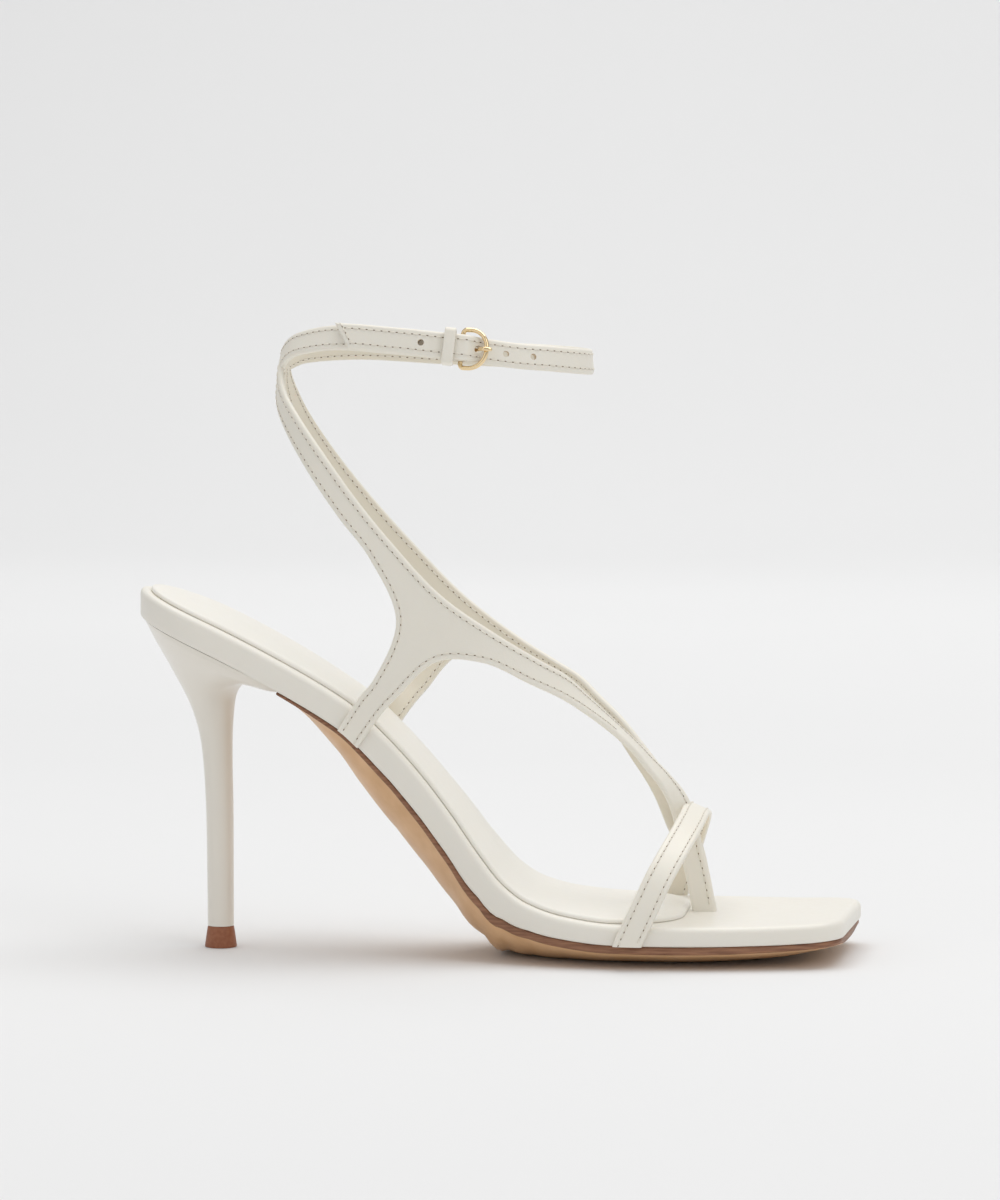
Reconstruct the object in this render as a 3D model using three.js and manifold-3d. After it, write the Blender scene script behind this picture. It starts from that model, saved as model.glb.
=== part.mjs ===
// Strappy heeled sandal, right shoe: wrapped platform, padded sock, stiletto heel, forked side straps,
// thong, toe strap and a buckled ankle strap.
//
// Millimetres, +Z up, +X toward the toe, -Y the outer side of the foot, +Y the inner side.
// Origin: the middle of the heel tip's bottom face, on the floor.

import * as THREE from 'three';
import { mergeVertices } from 'three/addons/utils/BufferGeometryUtils.js';
import Module from 'manifold-3d';

const wasm = await Module();
wasm.setup();
const { Manifold, Mesh } = wasm;

// Driving dimensions of the whole shoe

const SHOE_LENGTH = 217;
const HEEL_OVERHANG = 24;
const BALL_WIDTH = 80;
const SEAT_HEIGHT = 111;
const FOREFOOT_HEIGHT = 13;
const ANKLE_HEIGHT = 71;
const CLEARANCE = 0.3;

// Platform, sock and outsole

const PLATFORM_THICKNESS = 8.2;
const PLATFORM_EDGE_ROUND = 2.0;
const REAR_ROUND = 23;
const TOE_ROUND = 10;
const TOE_SLANT = 3;
const SOCK_INSET = 3.3;
const SOCK_THICKNESS = 1.3;
const SOCK_PADDING = 1.3;
const SOCK_END_ROUND = 24;
const SOCK_THONG_GAP = 1.5;
const OUTSOLE_EDGE = 2.2;
const OUTSOLE_INSET = 0.6;
const SOLE_BULGE = 7.5;
const BULGE_POWER = 2.6;
const BREAST_X = 21;

// Heel and heel tip

const HEEL_STEM = 8;
const TIP_HEIGHT = 6.6;
const TIP_FLARE = 0.9;
const SEAT_WIDTH = 49;
const SEAT_TRIM = 4;

// How finely the curved forms are divided

const SOLE_STEPS = 32;
const HEEL_POINTS = 28;
const END_HALF = 0.6;

// Straps

const STRAP_WIDTH = 8;
const STRAP_THICKNESS = 1.8;
const TOE_STRAP_WIDTH = 8.2;
const THONG_WIDTH = 7.2;
const THONG_SPREAD = 1.6;
const THONG_DEPTH = 2.5;
const ANKLE_STRAP_WIDTH = 7.8;
const FORK_WEB = 12.5;

// Ankle loop, buckle and keeper

const ANKLE_LENGTH = 93.5;
const ANKLE_WIDTH = 50;
const WIRE = 1.4;
const FRAME_HEIGHT = 12.9;
const FRAME_LENGTH = 9.4;
const FRAME_REAR_CORNER = 1.9;
const FRAME_FRONT_CORNER = 6.1;
const PRONG_WIDTH = 1.2;
const PRONG_THICKNESS = 0.8;
const PRONG_HOLE = 2.4;
const HOLE_DIAMETER = 1.9;
const HOLE_PITCH = 8.4;
const HOLE_AHEAD = 4.8;
const HOLES_BEHIND = 2;
const HOLES_AHEAD = 2;
const FOLD_LAYER = 0.8;
const KEEPER_WIDTH = 3.4;
const KEEPER_WALL = 1.1;
const BUCKLE_TURN = 103;
const KEEPER_TURN = 98.3;
const TAIL_END_TURN = 57.5;
const TAIL_SKEW = 5.8;

const HALF_BALL = BALL_WIDTH / 2;
const REAR_X = -HEEL_OVERHANG;
const TOE_X = REAR_X + SHOE_LENGTH;
const HEEL_RISE = SEAT_HEIGHT - FOREFOOT_HEIGHT;
const ANKLE_LEVEL = SEAT_HEIGHT + ANKLE_HEIGHT;

// Footbed seen from the side. along: share of the shoe's length from the heel's rear end.
// rise: share of the height that the heel adds. thick: share of the platform's thickness.
// edge and bulge: shares of the outsole's edge thickness and of its underside's bulge.
const FOOTBED = [
  { along: 0.000, rise: 1.000, thick: 1.00, edge: 0.15, bulge: 0.00 },
  { along: 0.107, rise: 0.899, thick: 1.00, edge: 0.15, bulge: 0.00 },
  { along: 0.207, rise: 0.787, thick: 1.00, edge: 0.30, bulge: 0.03 },
  { along: 0.280, rise: 0.694, thick: 1.00, edge: 0.50, bulge: 0.90 },
  { along: 0.313, rise: 0.645, thick: 1.00, edge: 0.60, bulge: 1.30 },
  { along: 0.366, rise: 0.537, thick: 1.00, edge: 0.62, bulge: 1.38 },
  { along: 0.410, rise: 0.430, thick: 0.98, edge: 0.64, bulge: 1.30 },
  { along: 0.450, rise: 0.318, thick: 0.95, edge: 0.68, bulge: 1.14 },
  { along: 0.490, rise: 0.196, thick: 0.92, edge: 0.76, bulge: 0.95 },
  { along: 0.525, rise: 0.106, thick: 0.89, edge: 0.86, bulge: 0.98 },
  { along: 0.560, rise: 0.055, thick: 0.84, edge: 0.95, bulge: 1.02 },
  { along: 0.610, rise: 0.022, thick: 0.78, edge: 1.00, bulge: 0.89 },
  { along: 0.680, rise: 0.004, thick: 0.74, edge: 1.00, bulge: 0.76 },
  { along: 0.780, rise: 0.000, thick: 0.71, edge: 1.00, bulge: 0.73 },
  { along: 0.900, rise: 0.002, thick: 0.69, edge: 0.85, bulge: 0.60 },
  { along: 1.000, rise: 0.010, thick: 0.67, edge: 0.65, bulge: 0.15 },
];

// Footbed seen from above: half widths to the outer and the inner side, as shares of half the ball width.
const OUTLINE = [
  { along: 0.000, outer: 0.640, inner: 0.640 },
  { along: 0.110, outer: 0.655, inner: 0.655 },
  { along: 0.200, outer: 0.650, inner: 0.610 },
  { along: 0.280, outer: 0.630, inner: 0.500 },
  { along: 0.360, outer: 0.640, inner: 0.400 },
  { along: 0.410, outer: 0.665, inner: 0.390 },
  { along: 0.460, outer: 0.715, inner: 0.460 },
  { along: 0.520, outer: 0.805, inner: 0.620 },
  { along: 0.590, outer: 0.920, inner: 0.800 },
  { along: 0.660, outer: 0.995, inner: 0.910 },
  { along: 0.730, outer: 1.015, inner: 0.955 },
  { along: 0.800, outer: 1.000, inner: 0.960 },
  { along: 0.870, outer: 0.945, inner: 0.920 },
  { along: 0.940, outer: 0.870, inner: 0.860 },
  { along: 1.000, outer: 0.800, inner: 0.800 },
];

// Heel rings from the seat down. back and front: distances from the stem's middle as shares of the
// heel's overhang. backDrop and frontDrop: how far down each end lies, as shares of the height from
// seat to tip. half: share of half the seat's width. square: 0 for a round front, 1 for a straight breast.
const HEEL_RINGS = [
  { back: 0.950, front: 0.860, backDrop: 0.000, frontDrop: 0.000, half: 1.000, square: 1.00 },
  { back: 0.840, front: 0.815, backDrop: 0.052, frontDrop: 0.022, half: 0.880, square: 0.95 },
  { back: 0.690, front: 0.640, backDrop: 0.112, frontDrop: 0.036, half: 0.720, square: 0.70 },
  { back: 0.530, front: 0.470, backDrop: 0.178, frontDrop: 0.050, half: 0.530, square: 0.40 },
  { back: 0.400, front: 0.320, backDrop: 0.236, frontDrop: 0.075, half: 0.370, square: 0.20 },
  { back: 0.310, front: 0.220, backDrop: 0.296, frontDrop: 0.125, half: 0.270, square: 0.05 },
  { back: 0.255, front: 0.178, backDrop: 0.352, frontDrop: 0.200, half: 0.215, square: 0.00 },
  { back: 0.215, front: 0.158, backDrop: 0.440, frontDrop: 0.320, half: 0.185, square: 0.00 },
];

// The stem below the rings. up: share of its height. wide: share of half its width.
const HEEL_STEM_ROWS = [
  { up: 0.75, wide: 1.10 },
  { up: 0.35, wide: 1.03 },
  { up: 0.00, wide: 1.00 },
];

// Side straps as rows from the fork outward. along and out: shares of shoe length and half ball width.
// up: share of the way from the footbed to the ankle strap's level. turn: degrees that the face turns
// from sideways to backward. lean: degrees that it tips to face up. wide: share of the strap's width.
// A row without out lies flat against the platform's side.
const OUTER_STRAP = {
  fork: { along: 0.424, out: 0.845, up: 0.388, turn: 0, lean: 4 },
  webs: { rear: 0.80, top: 0.74, under: 0.94 },
  arm: [
    { along: 0.357, out: 0.790, up: 0.490, turn: 4, lean: 4, wide: 1.03 },
    { along: 0.310, out: 0.720, up: 0.562, turn: 12, lean: 4, wide: 0.98 },
    { along: 0.263, out: 0.610, up: 0.670, turn: 26, lean: 3, wide: 0.97 },
    { along: 0.225, out: 0.420, up: 0.775, turn: 48, lean: 0, wide: 0.98 },
    { along: 0.205, out: 0.240, up: 0.850, turn: 68, lean: 0, wide: 1.02 },
    { along: 0.201, out: 0.130, up: 0.915, turn: 80, lean: 0, wide: 0.96 },
    { along: 0.204, out: 0.060, up: 0.975, turn: 86, lean: 0, wide: 0.88 },
  ],
  foot: [
    { along: 0.363, out: 0.765, up: 0.140, turn: 0, lean: 8, wide: 1.12 },
    { along: 0.341, out: 0.712, up: 0.055, turn: 0, lean: 4, wide: 1.06 },
    { along: 0.322, up: -0.030, wide: 1.03 },
    { along: 0.300, up: -0.135, wide: 1.00 },
  ],
  front: [
    { along: 0.509, out: 0.830, up: 0.437, turn: 0, lean: 14, wide: 1.18 },
    { along: 0.568, out: 0.745, up: 0.426, turn: 0, lean: 26, wide: 1.02 },
    { along: 0.607, out: 0.635, up: 0.405, turn: 0, lean: 38, wide: 1.00 },
    { along: 0.637, out: 0.495, up: 0.374, turn: 0, lean: 50, wide: 0.97 },
    { along: 0.670, out: 0.325, up: 0.335, turn: 0, lean: 58, wide: 0.93 },
    { along: 0.699, out: 0.200, up: 0.296, turn: 0, lean: 62, wide: 0.90 },
    { along: 0.717, out: 0.138, up: 0.268, turn: 0, lean: 63, wide: 0.90 },
    { along: 0.737, out: 0.088, up: 0.238, turn: 0, lean: 62, wide: 0.90 },
    { along: 0.756, out: 0.045, up: 0.200, turn: 0, lean: 56, wide: 0.90 },
    { along: 0.769, out: 0.021, up: 0.150, turn: 0, lean: 18, wide: 0.90 },
  ],
};

const INNER_STRAP = {
  fork: { along: 0.418, out: 0.770, up: 0.355, turn: 0, lean: 4 },
  webs: { rear: 0.80, top: 0.74, under: 0.94 },
  arm: [
    { along: 0.357, out: 0.735, up: 0.450, turn: 4, lean: 4, wide: 1.03 },
    { along: 0.303, out: 0.680, up: 0.525, turn: 12, lean: 4, wide: 0.98 },
    { along: 0.254, out: 0.590, up: 0.635, turn: 26, lean: 3, wide: 0.97 },
    { along: 0.220, out: 0.415, up: 0.755, turn: 48, lean: 0, wide: 0.97 },
    { along: 0.207, out: 0.240, up: 0.845, turn: 68, lean: 0, wide: 0.95 },
    { along: 0.202, out: 0.130, up: 0.915, turn: 80, lean: 0, wide: 0.90 },
    { along: 0.204, out: 0.060, up: 0.975, turn: 86, lean: 0, wide: 0.85 },
  ],
  foot: [
    { along: 0.372, out: 0.610, up: 0.130, turn: 0, lean: 10, wide: 1.12 },
    { along: 0.353, out: 0.490, up: 0.050, turn: 0, lean: 8, wide: 1.06 },
    { along: 0.337, up: -0.030, wide: 1.03 },
    { along: 0.316, up: -0.135, wide: 1.00 },
  ],
  front: [
    { along: 0.509, out: 0.745, up: 0.405, turn: 0, lean: 14, wide: 1.18 },
    { along: 0.568, out: 0.650, up: 0.400, turn: 0, lean: 26, wide: 1.02 },
    { along: 0.607, out: 0.545, up: 0.385, turn: 0, lean: 38, wide: 1.00 },
    { along: 0.637, out: 0.435, up: 0.358, turn: 0, lean: 44, wide: 0.97 },
    { along: 0.670, out: 0.290, up: 0.322, turn: 0, lean: 42, wide: 0.93 },
    { along: 0.699, out: 0.190, up: 0.277, turn: 0, lean: 38, wide: 0.91 },
    { along: 0.718, out: 0.140, up: 0.246, turn: 0, lean: 34, wide: 0.90 },
    { along: 0.736, out: 0.088, up: 0.212, turn: 0, lean: 22, wide: 0.90 },
    { along: 0.758, out: 0.026, up: 0.151, turn: 0, lean: 4, wide: 0.90 },
  ],
};

// The thong between the toes: both front arms run on down these rows, one against the other.
const THONG = [
  { along: 0.774, up: 0.115 },
  { along: 0.783, up: 0.070 },
  { along: 0.790, up: 0.025 },
  { along: 0.794, up: 0.000 },
];

// Toe strap across the forefoot, from the outer to the inner side. across: -1 outer side of the
// platform, 1 inner side. up: as above. lean: degrees from facing outward to facing up.
// tip: degrees that the face tips toward the toe.
const TOE_STRAP = [
  { along: 0.6940, across: -1.000, up: -0.058, lean: 0, tip: 0 },
  { along: 0.7015, across: -1.000, up: -0.031, lean: 0, tip: 0 },
  { along: 0.7110, across: -1.000, up: -0.004, lean: 0, tip: 2 },
  { along: 0.7250, across: -0.995, up: 0.035, lean: 5, tip: 4 },
  { along: 0.7420, across: -0.930, up: 0.083, lean: 22, tip: 8 },
  { along: 0.7580, across: -0.780, up: 0.122, lean: 44, tip: 14 },
  { along: 0.7710, across: -0.530, up: 0.152, lean: 64, tip: 19 },
  { along: 0.7790, across: -0.260, up: 0.172, lean: 78, tip: 23 },
  { along: 0.7820, across: 0.020, up: 0.182, lean: 90, tip: 23 },
  { along: 0.7820, across: 0.300, up: 0.176, lean: 104, tip: 22 },
  { along: 0.7770, across: 0.560, up: 0.155, lean: 122, tip: 18 },
  { along: 0.7680, across: 0.790, up: 0.121, lean: 140, tip: 12 },
  { along: 0.7570, across: 0.940, up: 0.078, lean: 160, tip: 6 },
  { along: 0.7470, across: 0.998, up: 0.033, lean: 176, tip: 2 },
  { along: 0.7380, across: 1.000, up: -0.004, lean: 180, tip: 0 },
  { along: 0.7310, across: 1.000, up: -0.031, lean: 180, tip: 0 },
  { along: 0.7240, across: 1.000, up: -0.058, lean: 180, tip: 0 },
];

// Ankle loop by its turn in degrees from the back, positive on the outer side.
// up: share of the ankle strap's level above the seat. lean: degrees that the face tips up.
const ANKLE_LOOP = [
  { turn: -360, up: 0.955, lean: 10 },
  { turn: -330, up: 1.035, lean: 24 },
  { turn: -304, up: 1.066, lean: 18 },
  { turn: -280, up: 1.050, lean: 12 },
  { turn: -257, up: 1.022, lean: 10 },
  { turn: -230, up: 0.986, lean: 12 },
  { turn: -180, up: 0.960, lean: 4 },
  { turn: -130, up: 0.975, lean: 12 },
  { turn: -90, up: 0.992, lean: 10 },
  { turn: -56, up: 1.012, lean: 14 },
  { turn: -30, up: 1.000, lean: 18 },
  { turn: 0, up: 0.955, lean: 10 },
  { turn: 30, up: 1.035, lean: 24 },
  { turn: 56, up: 1.066, lean: 18 },
  { turn: 80, up: 1.050, lean: 12 },
  { turn: 103, up: 1.022, lean: 10 },
  { turn: 130, up: 0.986, lean: 12 },
  { turn: 180, up: 0.960, lean: 4 },
];

// Small helpers

function read(rows, key, column, at) {
  // A smooth curve through a column of a table, held level beyond its ends.
  const last = rows.length - 1;
  if (at <= rows[0][key]) return rows[0][column];
  if (at >= rows[last][key]) return rows[last][column];
  let i = 0;
  while (rows[i + 1][key] < at) i += 1;
  const slope = (j) => {
    if (j <= 0 || j >= last) return 0;
    const before = (rows[j][column] - rows[j - 1][column]) / (rows[j][key] - rows[j - 1][key]);
    const after = (rows[j + 1][column] - rows[j][column]) / (rows[j + 1][key] - rows[j][key]);
    if (before * after <= 0) return 0;
    return (2 * before * after) / (before + after);
  };
  const endSlope = (j) => {
    const k = j === 0 ? 1 : last - 1;
    return (rows[k][column] - rows[j][column]) / (rows[k][key] - rows[j][key]);
  };
  const span = rows[i + 1][key] - rows[i][key];
  const t = (at - rows[i][key]) / span;
  const m0 = i === 0 ? endSlope(0) : slope(i);
  const m1 = i + 1 === last ? endSlope(last) : slope(i + 1);
  const t2 = t * t;
  const t3 = t2 * t;
  return rows[i][column] * (2 * t3 - 3 * t2 + 1) + m0 * span * (t3 - 2 * t2 + t)
    + rows[i + 1][column] * (3 * t2 - 2 * t3) + m1 * span * (t3 - t2);
}

const alongOf = (x) => (x - REAR_X) / SHOE_LENGTH;
const xOf = (along) => REAR_X + along * SHOE_LENGTH;
const radians = THREE.MathUtils.degToRad;

function closedSolid(positions, triangles) {
  // One closed indexed mesh as a solid that booleans can use.
  let geometry = new THREE.BufferGeometry();
  geometry.setAttribute('position', new THREE.Float32BufferAttribute(positions, 3));
  geometry.setIndex(triangles);
  geometry = mergeVertices(geometry, 1e-4);
  return new Manifold(new Mesh({
    numProp: 3,
    vertProperties: Float32Array.from(geometry.attributes.position.array),
    triVerts: Uint32Array.from(geometry.index.array),
  }));
}

function loft(rings) {
  // A closed solid through rings with the same number of points, capped at both ends.
  const positions = [];
  const triangles = [];
  const count = rings[0].length;
  rings.forEach((ring) => ring.forEach((p) => positions.push(p.x, p.y, p.z)));
  for (let i = 0; i + 1 < rings.length; i += 1) {
    for (let j = 0; j < count; j += 1) {
      const a = i * count + j;
      const b = i * count + ((j + 1) % count);
      triangles.push(a, b, b + count, a, b + count, a + count);
    }
  }
  const cap = (start, flip) => {
    const outline = rings[start].map((p) => new THREE.Vector2(p.y, p.z));
    const flat = rings[start].every((p) => Math.abs(p.z - rings[start][0].z) < 1e-6);
    const shape = flat ? rings[start].map((p) => new THREE.Vector2(p.x, p.y)) : outline;
    const reversed = THREE.ShapeUtils.area(shape) < 0;
    THREE.ShapeUtils.triangulateShape(shape, []).forEach(([a, b, c]) => {
      const base = start * count;
      if (flip !== reversed) triangles.push(base + a, base + c, base + b);
      else triangles.push(base + a, base + b, base + c);
    });
  };
  cap(0, true);
  cap(rings.length - 1, false);
  return outward(positions, triangles);
}

function outward(positions, triangles) {
  // Turns every face out, whichever way round the rings run.
  const solid = closedSolid(positions, triangles);
  if (solid.status() === 'NoError' && solid.volume() > 0) return solid;
  const flipped = [];
  for (let i = 0; i < triangles.length; i += 3) {
    flipped.push(triangles[i], triangles[i + 2], triangles[i + 1]);
  }
  return closedSolid(positions, flipped);
}

function solidOf(geometry) {
  // A plain three.js geometry as a solid.
  geometry.deleteAttribute('normal');
  geometry.deleteAttribute('uv');
  const whole = mergeVertices(geometry, 1e-4);
  return outward(Array.from(whole.attributes.position.array), Array.from(whole.index.array));
}

function meshOf(name, solid, material) {
  const data = solid.getMesh();
  const geometry = new THREE.BufferGeometry();
  geometry.setAttribute('position', new THREE.BufferAttribute(Float32Array.from(data.vertProperties), 3));
  geometry.setIndex(new THREE.BufferAttribute(Uint32Array.from(data.triVerts), 1));
  geometry.computeVertexNormals();
  const mesh = new THREE.Mesh(geometry, material);
  mesh.name = name;
  return mesh;
}

// The footbed's surfaces

const topAt = (x) => FOREFOOT_HEIGHT + HEEL_RISE * read(FOOTBED, 'along', 'rise', alongOf(x));

function slopeAt(x) {
  const step = SHOE_LENGTH / 400;
  return (topAt(x + step) - topAt(x - step)) / (2 * step);
}

function bottomAt(x) {
  // The platform's underside: its thickness is measured square to the footbed.
  const thickness = PLATFORM_THICKNESS * read(FOOTBED, 'along', 'thick', alongOf(x));
  return topAt(x) - thickness * Math.hypot(1, slopeAt(x));
}

function halfWidth(side, x, inset = 0, end = TOE_X - inset, endRound = TOE_ROUND - inset) {
  // Half width to one side, drawn in by an inset, with the rounded heel end and the front end's corners.
  const column = side < 0 ? 'outer' : 'inner';
  let half = HALF_BALL * read(OUTLINE, 'along', column, alongOf(x)) - inset;
  const rearRound = REAR_ROUND - inset;
  const fromRear = Math.max(0, x - REAR_X - inset);
  const fromEnd = Math.max(0, end - x);
  if (fromRear < rearRound) half *= Math.sqrt(1 - (1 - fromRear / rearRound) ** 2);
  if (fromEnd < endRound) half -= endRound * (1 - Math.sqrt(1 - (1 - fromEnd / endRound) ** 2));
  return Math.max(half, END_HALF);
}

function slanted(x, y) {
  // The toe's front edge runs a little further forward on the inner side.
  const share = THREE.MathUtils.smoothstep(x, TOE_X - HALF_BALL, TOE_X);
  return x + TOE_SLANT * share * (y / HALF_BALL);
}

function stations(start, end, rearRound, frontRound) {
  // Places along the shoe: the same ones for every layer of the sole, closer together at round ends.
  const first = REAR_X + REAR_ROUND;
  const last = TOE_X - TOE_ROUND;
  const list = [];
  const steps = 6;
  for (let i = 0; i < steps && rearRound > 0; i += 1) {
    list.push(start + rearRound * (1 - Math.cos((Math.PI * i) / (2 * steps))));
  }
  if (rearRound === 0) list.push(start);
  for (let i = 0; i <= SOLE_STEPS; i += 1) {
    const x = first + ((last - first) * i) / SOLE_STEPS;
    if (x > list[list.length - 1] + 0.5 && x < end - frontRound - 0.5) list.push(x);
  }
  for (let i = steps; i >= 0; i -= 1) {
    list.push(end - frontRound * (1 - Math.cos((Math.PI * i) / (2 * steps))));
  }
  return list;
}

function soleRing(x, widths, across, bottom, top, round) {
  // One section across the sole: underside from outer to inner side, then the top back again.
  const point = (u, z) => {
    const y = u < 0 ? u * widths[0] : u * widths[1];
    return new THREE.Vector3(slanted(x, y), y, z);
  };
  const ring = [];
  for (let i = 0; i <= across; i += 1) {
    const u = -1 + (2 * i) / across;
    ring.push(point(u, bottom(x, u)));
  }
  const edge = Math.min(...widths);
  const share = Math.min(round / edge, 0.45);
  ring.push(point(1, top(x, 1) - round));
  ring.push(point(1 - share * 0.3, top(x, 1) - round * 0.3));
  for (let i = 0; i <= across; i += 1) {
    const u = (1 - share) * (1 - (2 * i) / across);
    ring.push(point(u, top(x, u)));
  }
  ring.push(point(-1 + share * 0.3, top(x, -1) - round * 0.3));
  ring.push(point(-1, top(x, -1) - round));
  return ring;
}

const square = (x) => Math.hypot(1, slopeAt(x));

function platformSolid() {
  const rings = stations(REAR_X, TOE_X, REAR_ROUND, TOE_ROUND).map((x) => soleRing(
    x, [halfWidth(-1, x), halfWidth(1, x)], 6, (at) => bottomAt(at), (at) => topAt(at), PLATFORM_EDGE_ROUND));
  return loft(rings).subtract(thongSlot());
}

function thongSlot() {
  // The slot between the toes that the thong goes down into.
  const last = THONG[THONG.length - 1];
  const thick = THONG_SPREAD + STRAP_THICKNESS;
  const slot = new THREE.BoxGeometry(
    THONG_WIDTH + 2 * CLEARANCE, thick + 2 * CLEARANCE, 2 * (THONG_DEPTH + CLEARANCE));
  slot.translate(xOf(last.along), 0, topAt(xOf(last.along)));
  return solidOf(slot);
}

const sockEnd = () => xOf(THONG[THONG.length - 1].along) - THONG_WIDTH / 2 - SOCK_THONG_GAP;

function sockSolid() {
  // Padded sock, thickest in the middle of the heel, with a rounded front end at the thong.
  const end = sockEnd();
  const start = REAR_X + SOCK_INSET;
  const base = (x) => topAt(x) + CLEARANCE * square(x);
  const rings = stations(start, end, REAR_ROUND - SOCK_INSET, SOCK_END_ROUND).map((x) => soleRing(
    x, [-1, 1].map((side) => halfWidth(side, x, SOCK_INSET, end, SOCK_END_ROUND)), 6, base,
    (at, u) => base(at) + SOCK_THICKNESS
      + SOCK_PADDING * (1 - u * u) * Math.min(1, (at - start) / REAR_ROUND),
    SOCK_THICKNESS * 0.8));
  return loft(rings);
}

function outsoleSolid() {
  // A thin edge all round and a bulging underside, flat where it meets the floor.
  const edgeAt = (x) => OUTSOLE_EDGE * read(FOOTBED, 'along', 'edge', alongOf(x));
  const bulgeAt = (x) => SOLE_BULGE * read(FOOTBED, 'along', 'bulge', alongOf(x));
  const under = (x, u) => bottomAt(x)
    - (CLEARANCE + edgeAt(x) + bulgeAt(x) * (1 - Math.abs(u) ** BULGE_POWER)) * square(x);
  const places = stations(BREAST_X, TOE_X - OUTSOLE_INSET, 0, TOE_ROUND - OUTSOLE_INSET);
  const rings = places.map((x) => soleRing(
    x, [-1, 1].map((side) => halfWidth(side, x, OUTSOLE_INSET)), 8,
    (at, u) => Math.max(0, under(at, u)),
    (at) => bottomAt(at) - CLEARANCE * square(at), edgeAt(x) * 0.2));
  return loft(rings);
}

// Heel and heel tip

function aboveUnderside(gap) {
  // Everything above a surface that follows the platform's underside, a gap below it.
  const xs = [REAR_X - HEEL_OVERHANG, ...stations(REAR_X, TOE_X, REAR_ROUND, 0)];
  const rings = xs.map((x) => {
    const low = bottomAt(x) - gap * square(x);
    const high = low + 2 * ANKLE_LEVEL;
    const corners = [[-BALL_WIDTH, low], [BALL_WIDTH, low], [BALL_WIDTH, high], [-BALL_WIDTH, high]];
    return corners.map(([y, z]) => new THREE.Vector3(x, y, z));
  });
  return loft(rings);
}

function heelSolid() {
  const seat = (x) => bottomAt(x) - CLEARANCE * square(x);
  const drop = seat(0) - TIP_HEIGHT;
  const rings = HEEL_RINGS.map((row, i) => {
    const back = -row.back * HEEL_OVERHANG;
    const front = row.front * HEEL_OVERHANG;
    const lift = i === 0 ? SEAT_TRIM : 0;
    return heelRing(back, front, seat(back) - row.backDrop * drop + lift,
      seat(front) - row.frontDrop * drop + lift, row.half * SEAT_WIDTH / 2, row.square);
  });
  const stem = HEEL_STEM / 2;
  const stemTop = seat(0) - HEEL_RINGS[HEEL_RINGS.length - 1].backDrop * drop;
  HEEL_STEM_ROWS.forEach((row) => {
    const z = TIP_HEIGHT + (stemTop - TIP_HEIGHT) * row.up;
    rings.push(heelRing(-stem * row.wide, stem, z, z, stem * row.wide, 0));
  });
  return loft(rings).subtract(aboveUnderside(CLEARANCE));
}

function heelRing(back, front, backZ, frontZ, half, straight) {
  // A round ring through a back and a front point; its front half may be nearly straight across.
  const middle = (back + front) / 2;
  const reach = (front - back) / 2;
  const ring = [];
  for (let i = 0; i < HEEL_POINTS; i += 1) {
    const angle = (2 * Math.PI * i) / HEEL_POINTS;
    const c = Math.cos(angle);
    const s = Math.sin(angle);
    const power = 2 + 4 * straight * Math.max(0, c);
    const scale = (Math.abs(c) ** power + Math.abs(s) ** power) ** (-1 / power);
    const x = middle + reach * c * scale;
    const z = backZ + (frontZ - backZ) * ((x - back) / (front - back));
    ring.push(new THREE.Vector3(x, half * s * scale, z));
  }
  return ring;
}

function heelTipSolid() {
  const stem = HEEL_STEM / 2;
  const low = stem + TIP_FLARE;
  return loft([
    heelRing(-low, low, 0, 0, low, 0),
    heelRing(-stem, stem, TIP_HEIGHT, TIP_HEIGHT, stem, 0),
  ]);
}

// Leather sheets: open surfaces given a thickness

function sheet(patches, thickness) {
  // patches: grids of points that share their borders, or single triangles of points.
  const keys = new Map();
  const points = [];
  const faces = [];
  const index = (p) => {
    const key = `${Math.round(p.x * 1e3)},${Math.round(p.y * 1e3)},${Math.round(p.z * 1e3)}`;
    if (!keys.has(key)) {
      keys.set(key, points.length);
      points.push(p.clone());
    }
    return keys.get(key);
  };
  patches.forEach((grid) => {
    const ids = grid.map((row) => row.map(index));
    for (let i = 0; i + 1 < ids.length; i += 1) {
      for (let j = 0; j + 1 < ids[i].length; j += 1) {
        if (ids[i + 1].length === ids[i].length) {
          faces.push([ids[i][j], ids[i][j + 1], ids[i + 1][j + 1]]);
          faces.push([ids[i][j], ids[i + 1][j + 1], ids[i + 1][j]]);
        }
      }
      if (ids[i + 1].length === ids[i].length - 1) {
        for (let j = 0; j + 1 < ids[i].length; j += 1) {
          faces.push([ids[i][j], ids[i][j + 1], ids[i + 1][j]]);
          if (j + 1 < ids[i + 1].length) faces.push([ids[i][j + 1], ids[i + 1][j + 1], ids[i + 1][j]]);
        }
      }
    }
  });
  const normals = points.map(() => new THREE.Vector3());
  const edges = new Map();
  faces.forEach(([a, b, c]) => {
    const normal = points[b].clone().sub(points[a]).cross(points[c].clone().sub(points[a]));
    [a, b, c].forEach((id) => normals[id].add(normal));
    [[a, b], [b, c], [c, a]].forEach(([p, q]) => edges.set(`${p},${q}`, [p, q]));
  });
  normals.forEach((normal) => normal.normalize());
  const positions = [];
  [0.5, -0.5].forEach((share) => points.forEach((p, i) => {
    const moved = p.clone().addScaledVector(normals[i], share * thickness);
    positions.push(moved.x, moved.y, moved.z);
  }));
  const triangles = [];
  const under = points.length;
  faces.forEach(([a, b, c]) => triangles.push(a, b, c, a + under, c + under, b + under));
  edges.forEach(([p, q]) => {
    if (!edges.has(`${q},${p}`)) triangles.push(p, p + under, q + under, p, q + under, q);
  });
  return outward(positions, triangles);
}

function facing(side, turn, lean) {
  // Unit vector out of a strap's face: turn toward the back, lean toward the top.
  const t = radians(turn);
  const l = radians(lean);
  return new THREE.Vector3(-Math.sin(t) * Math.cos(l), side * Math.cos(t) * Math.cos(l), Math.sin(l));
}

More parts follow.
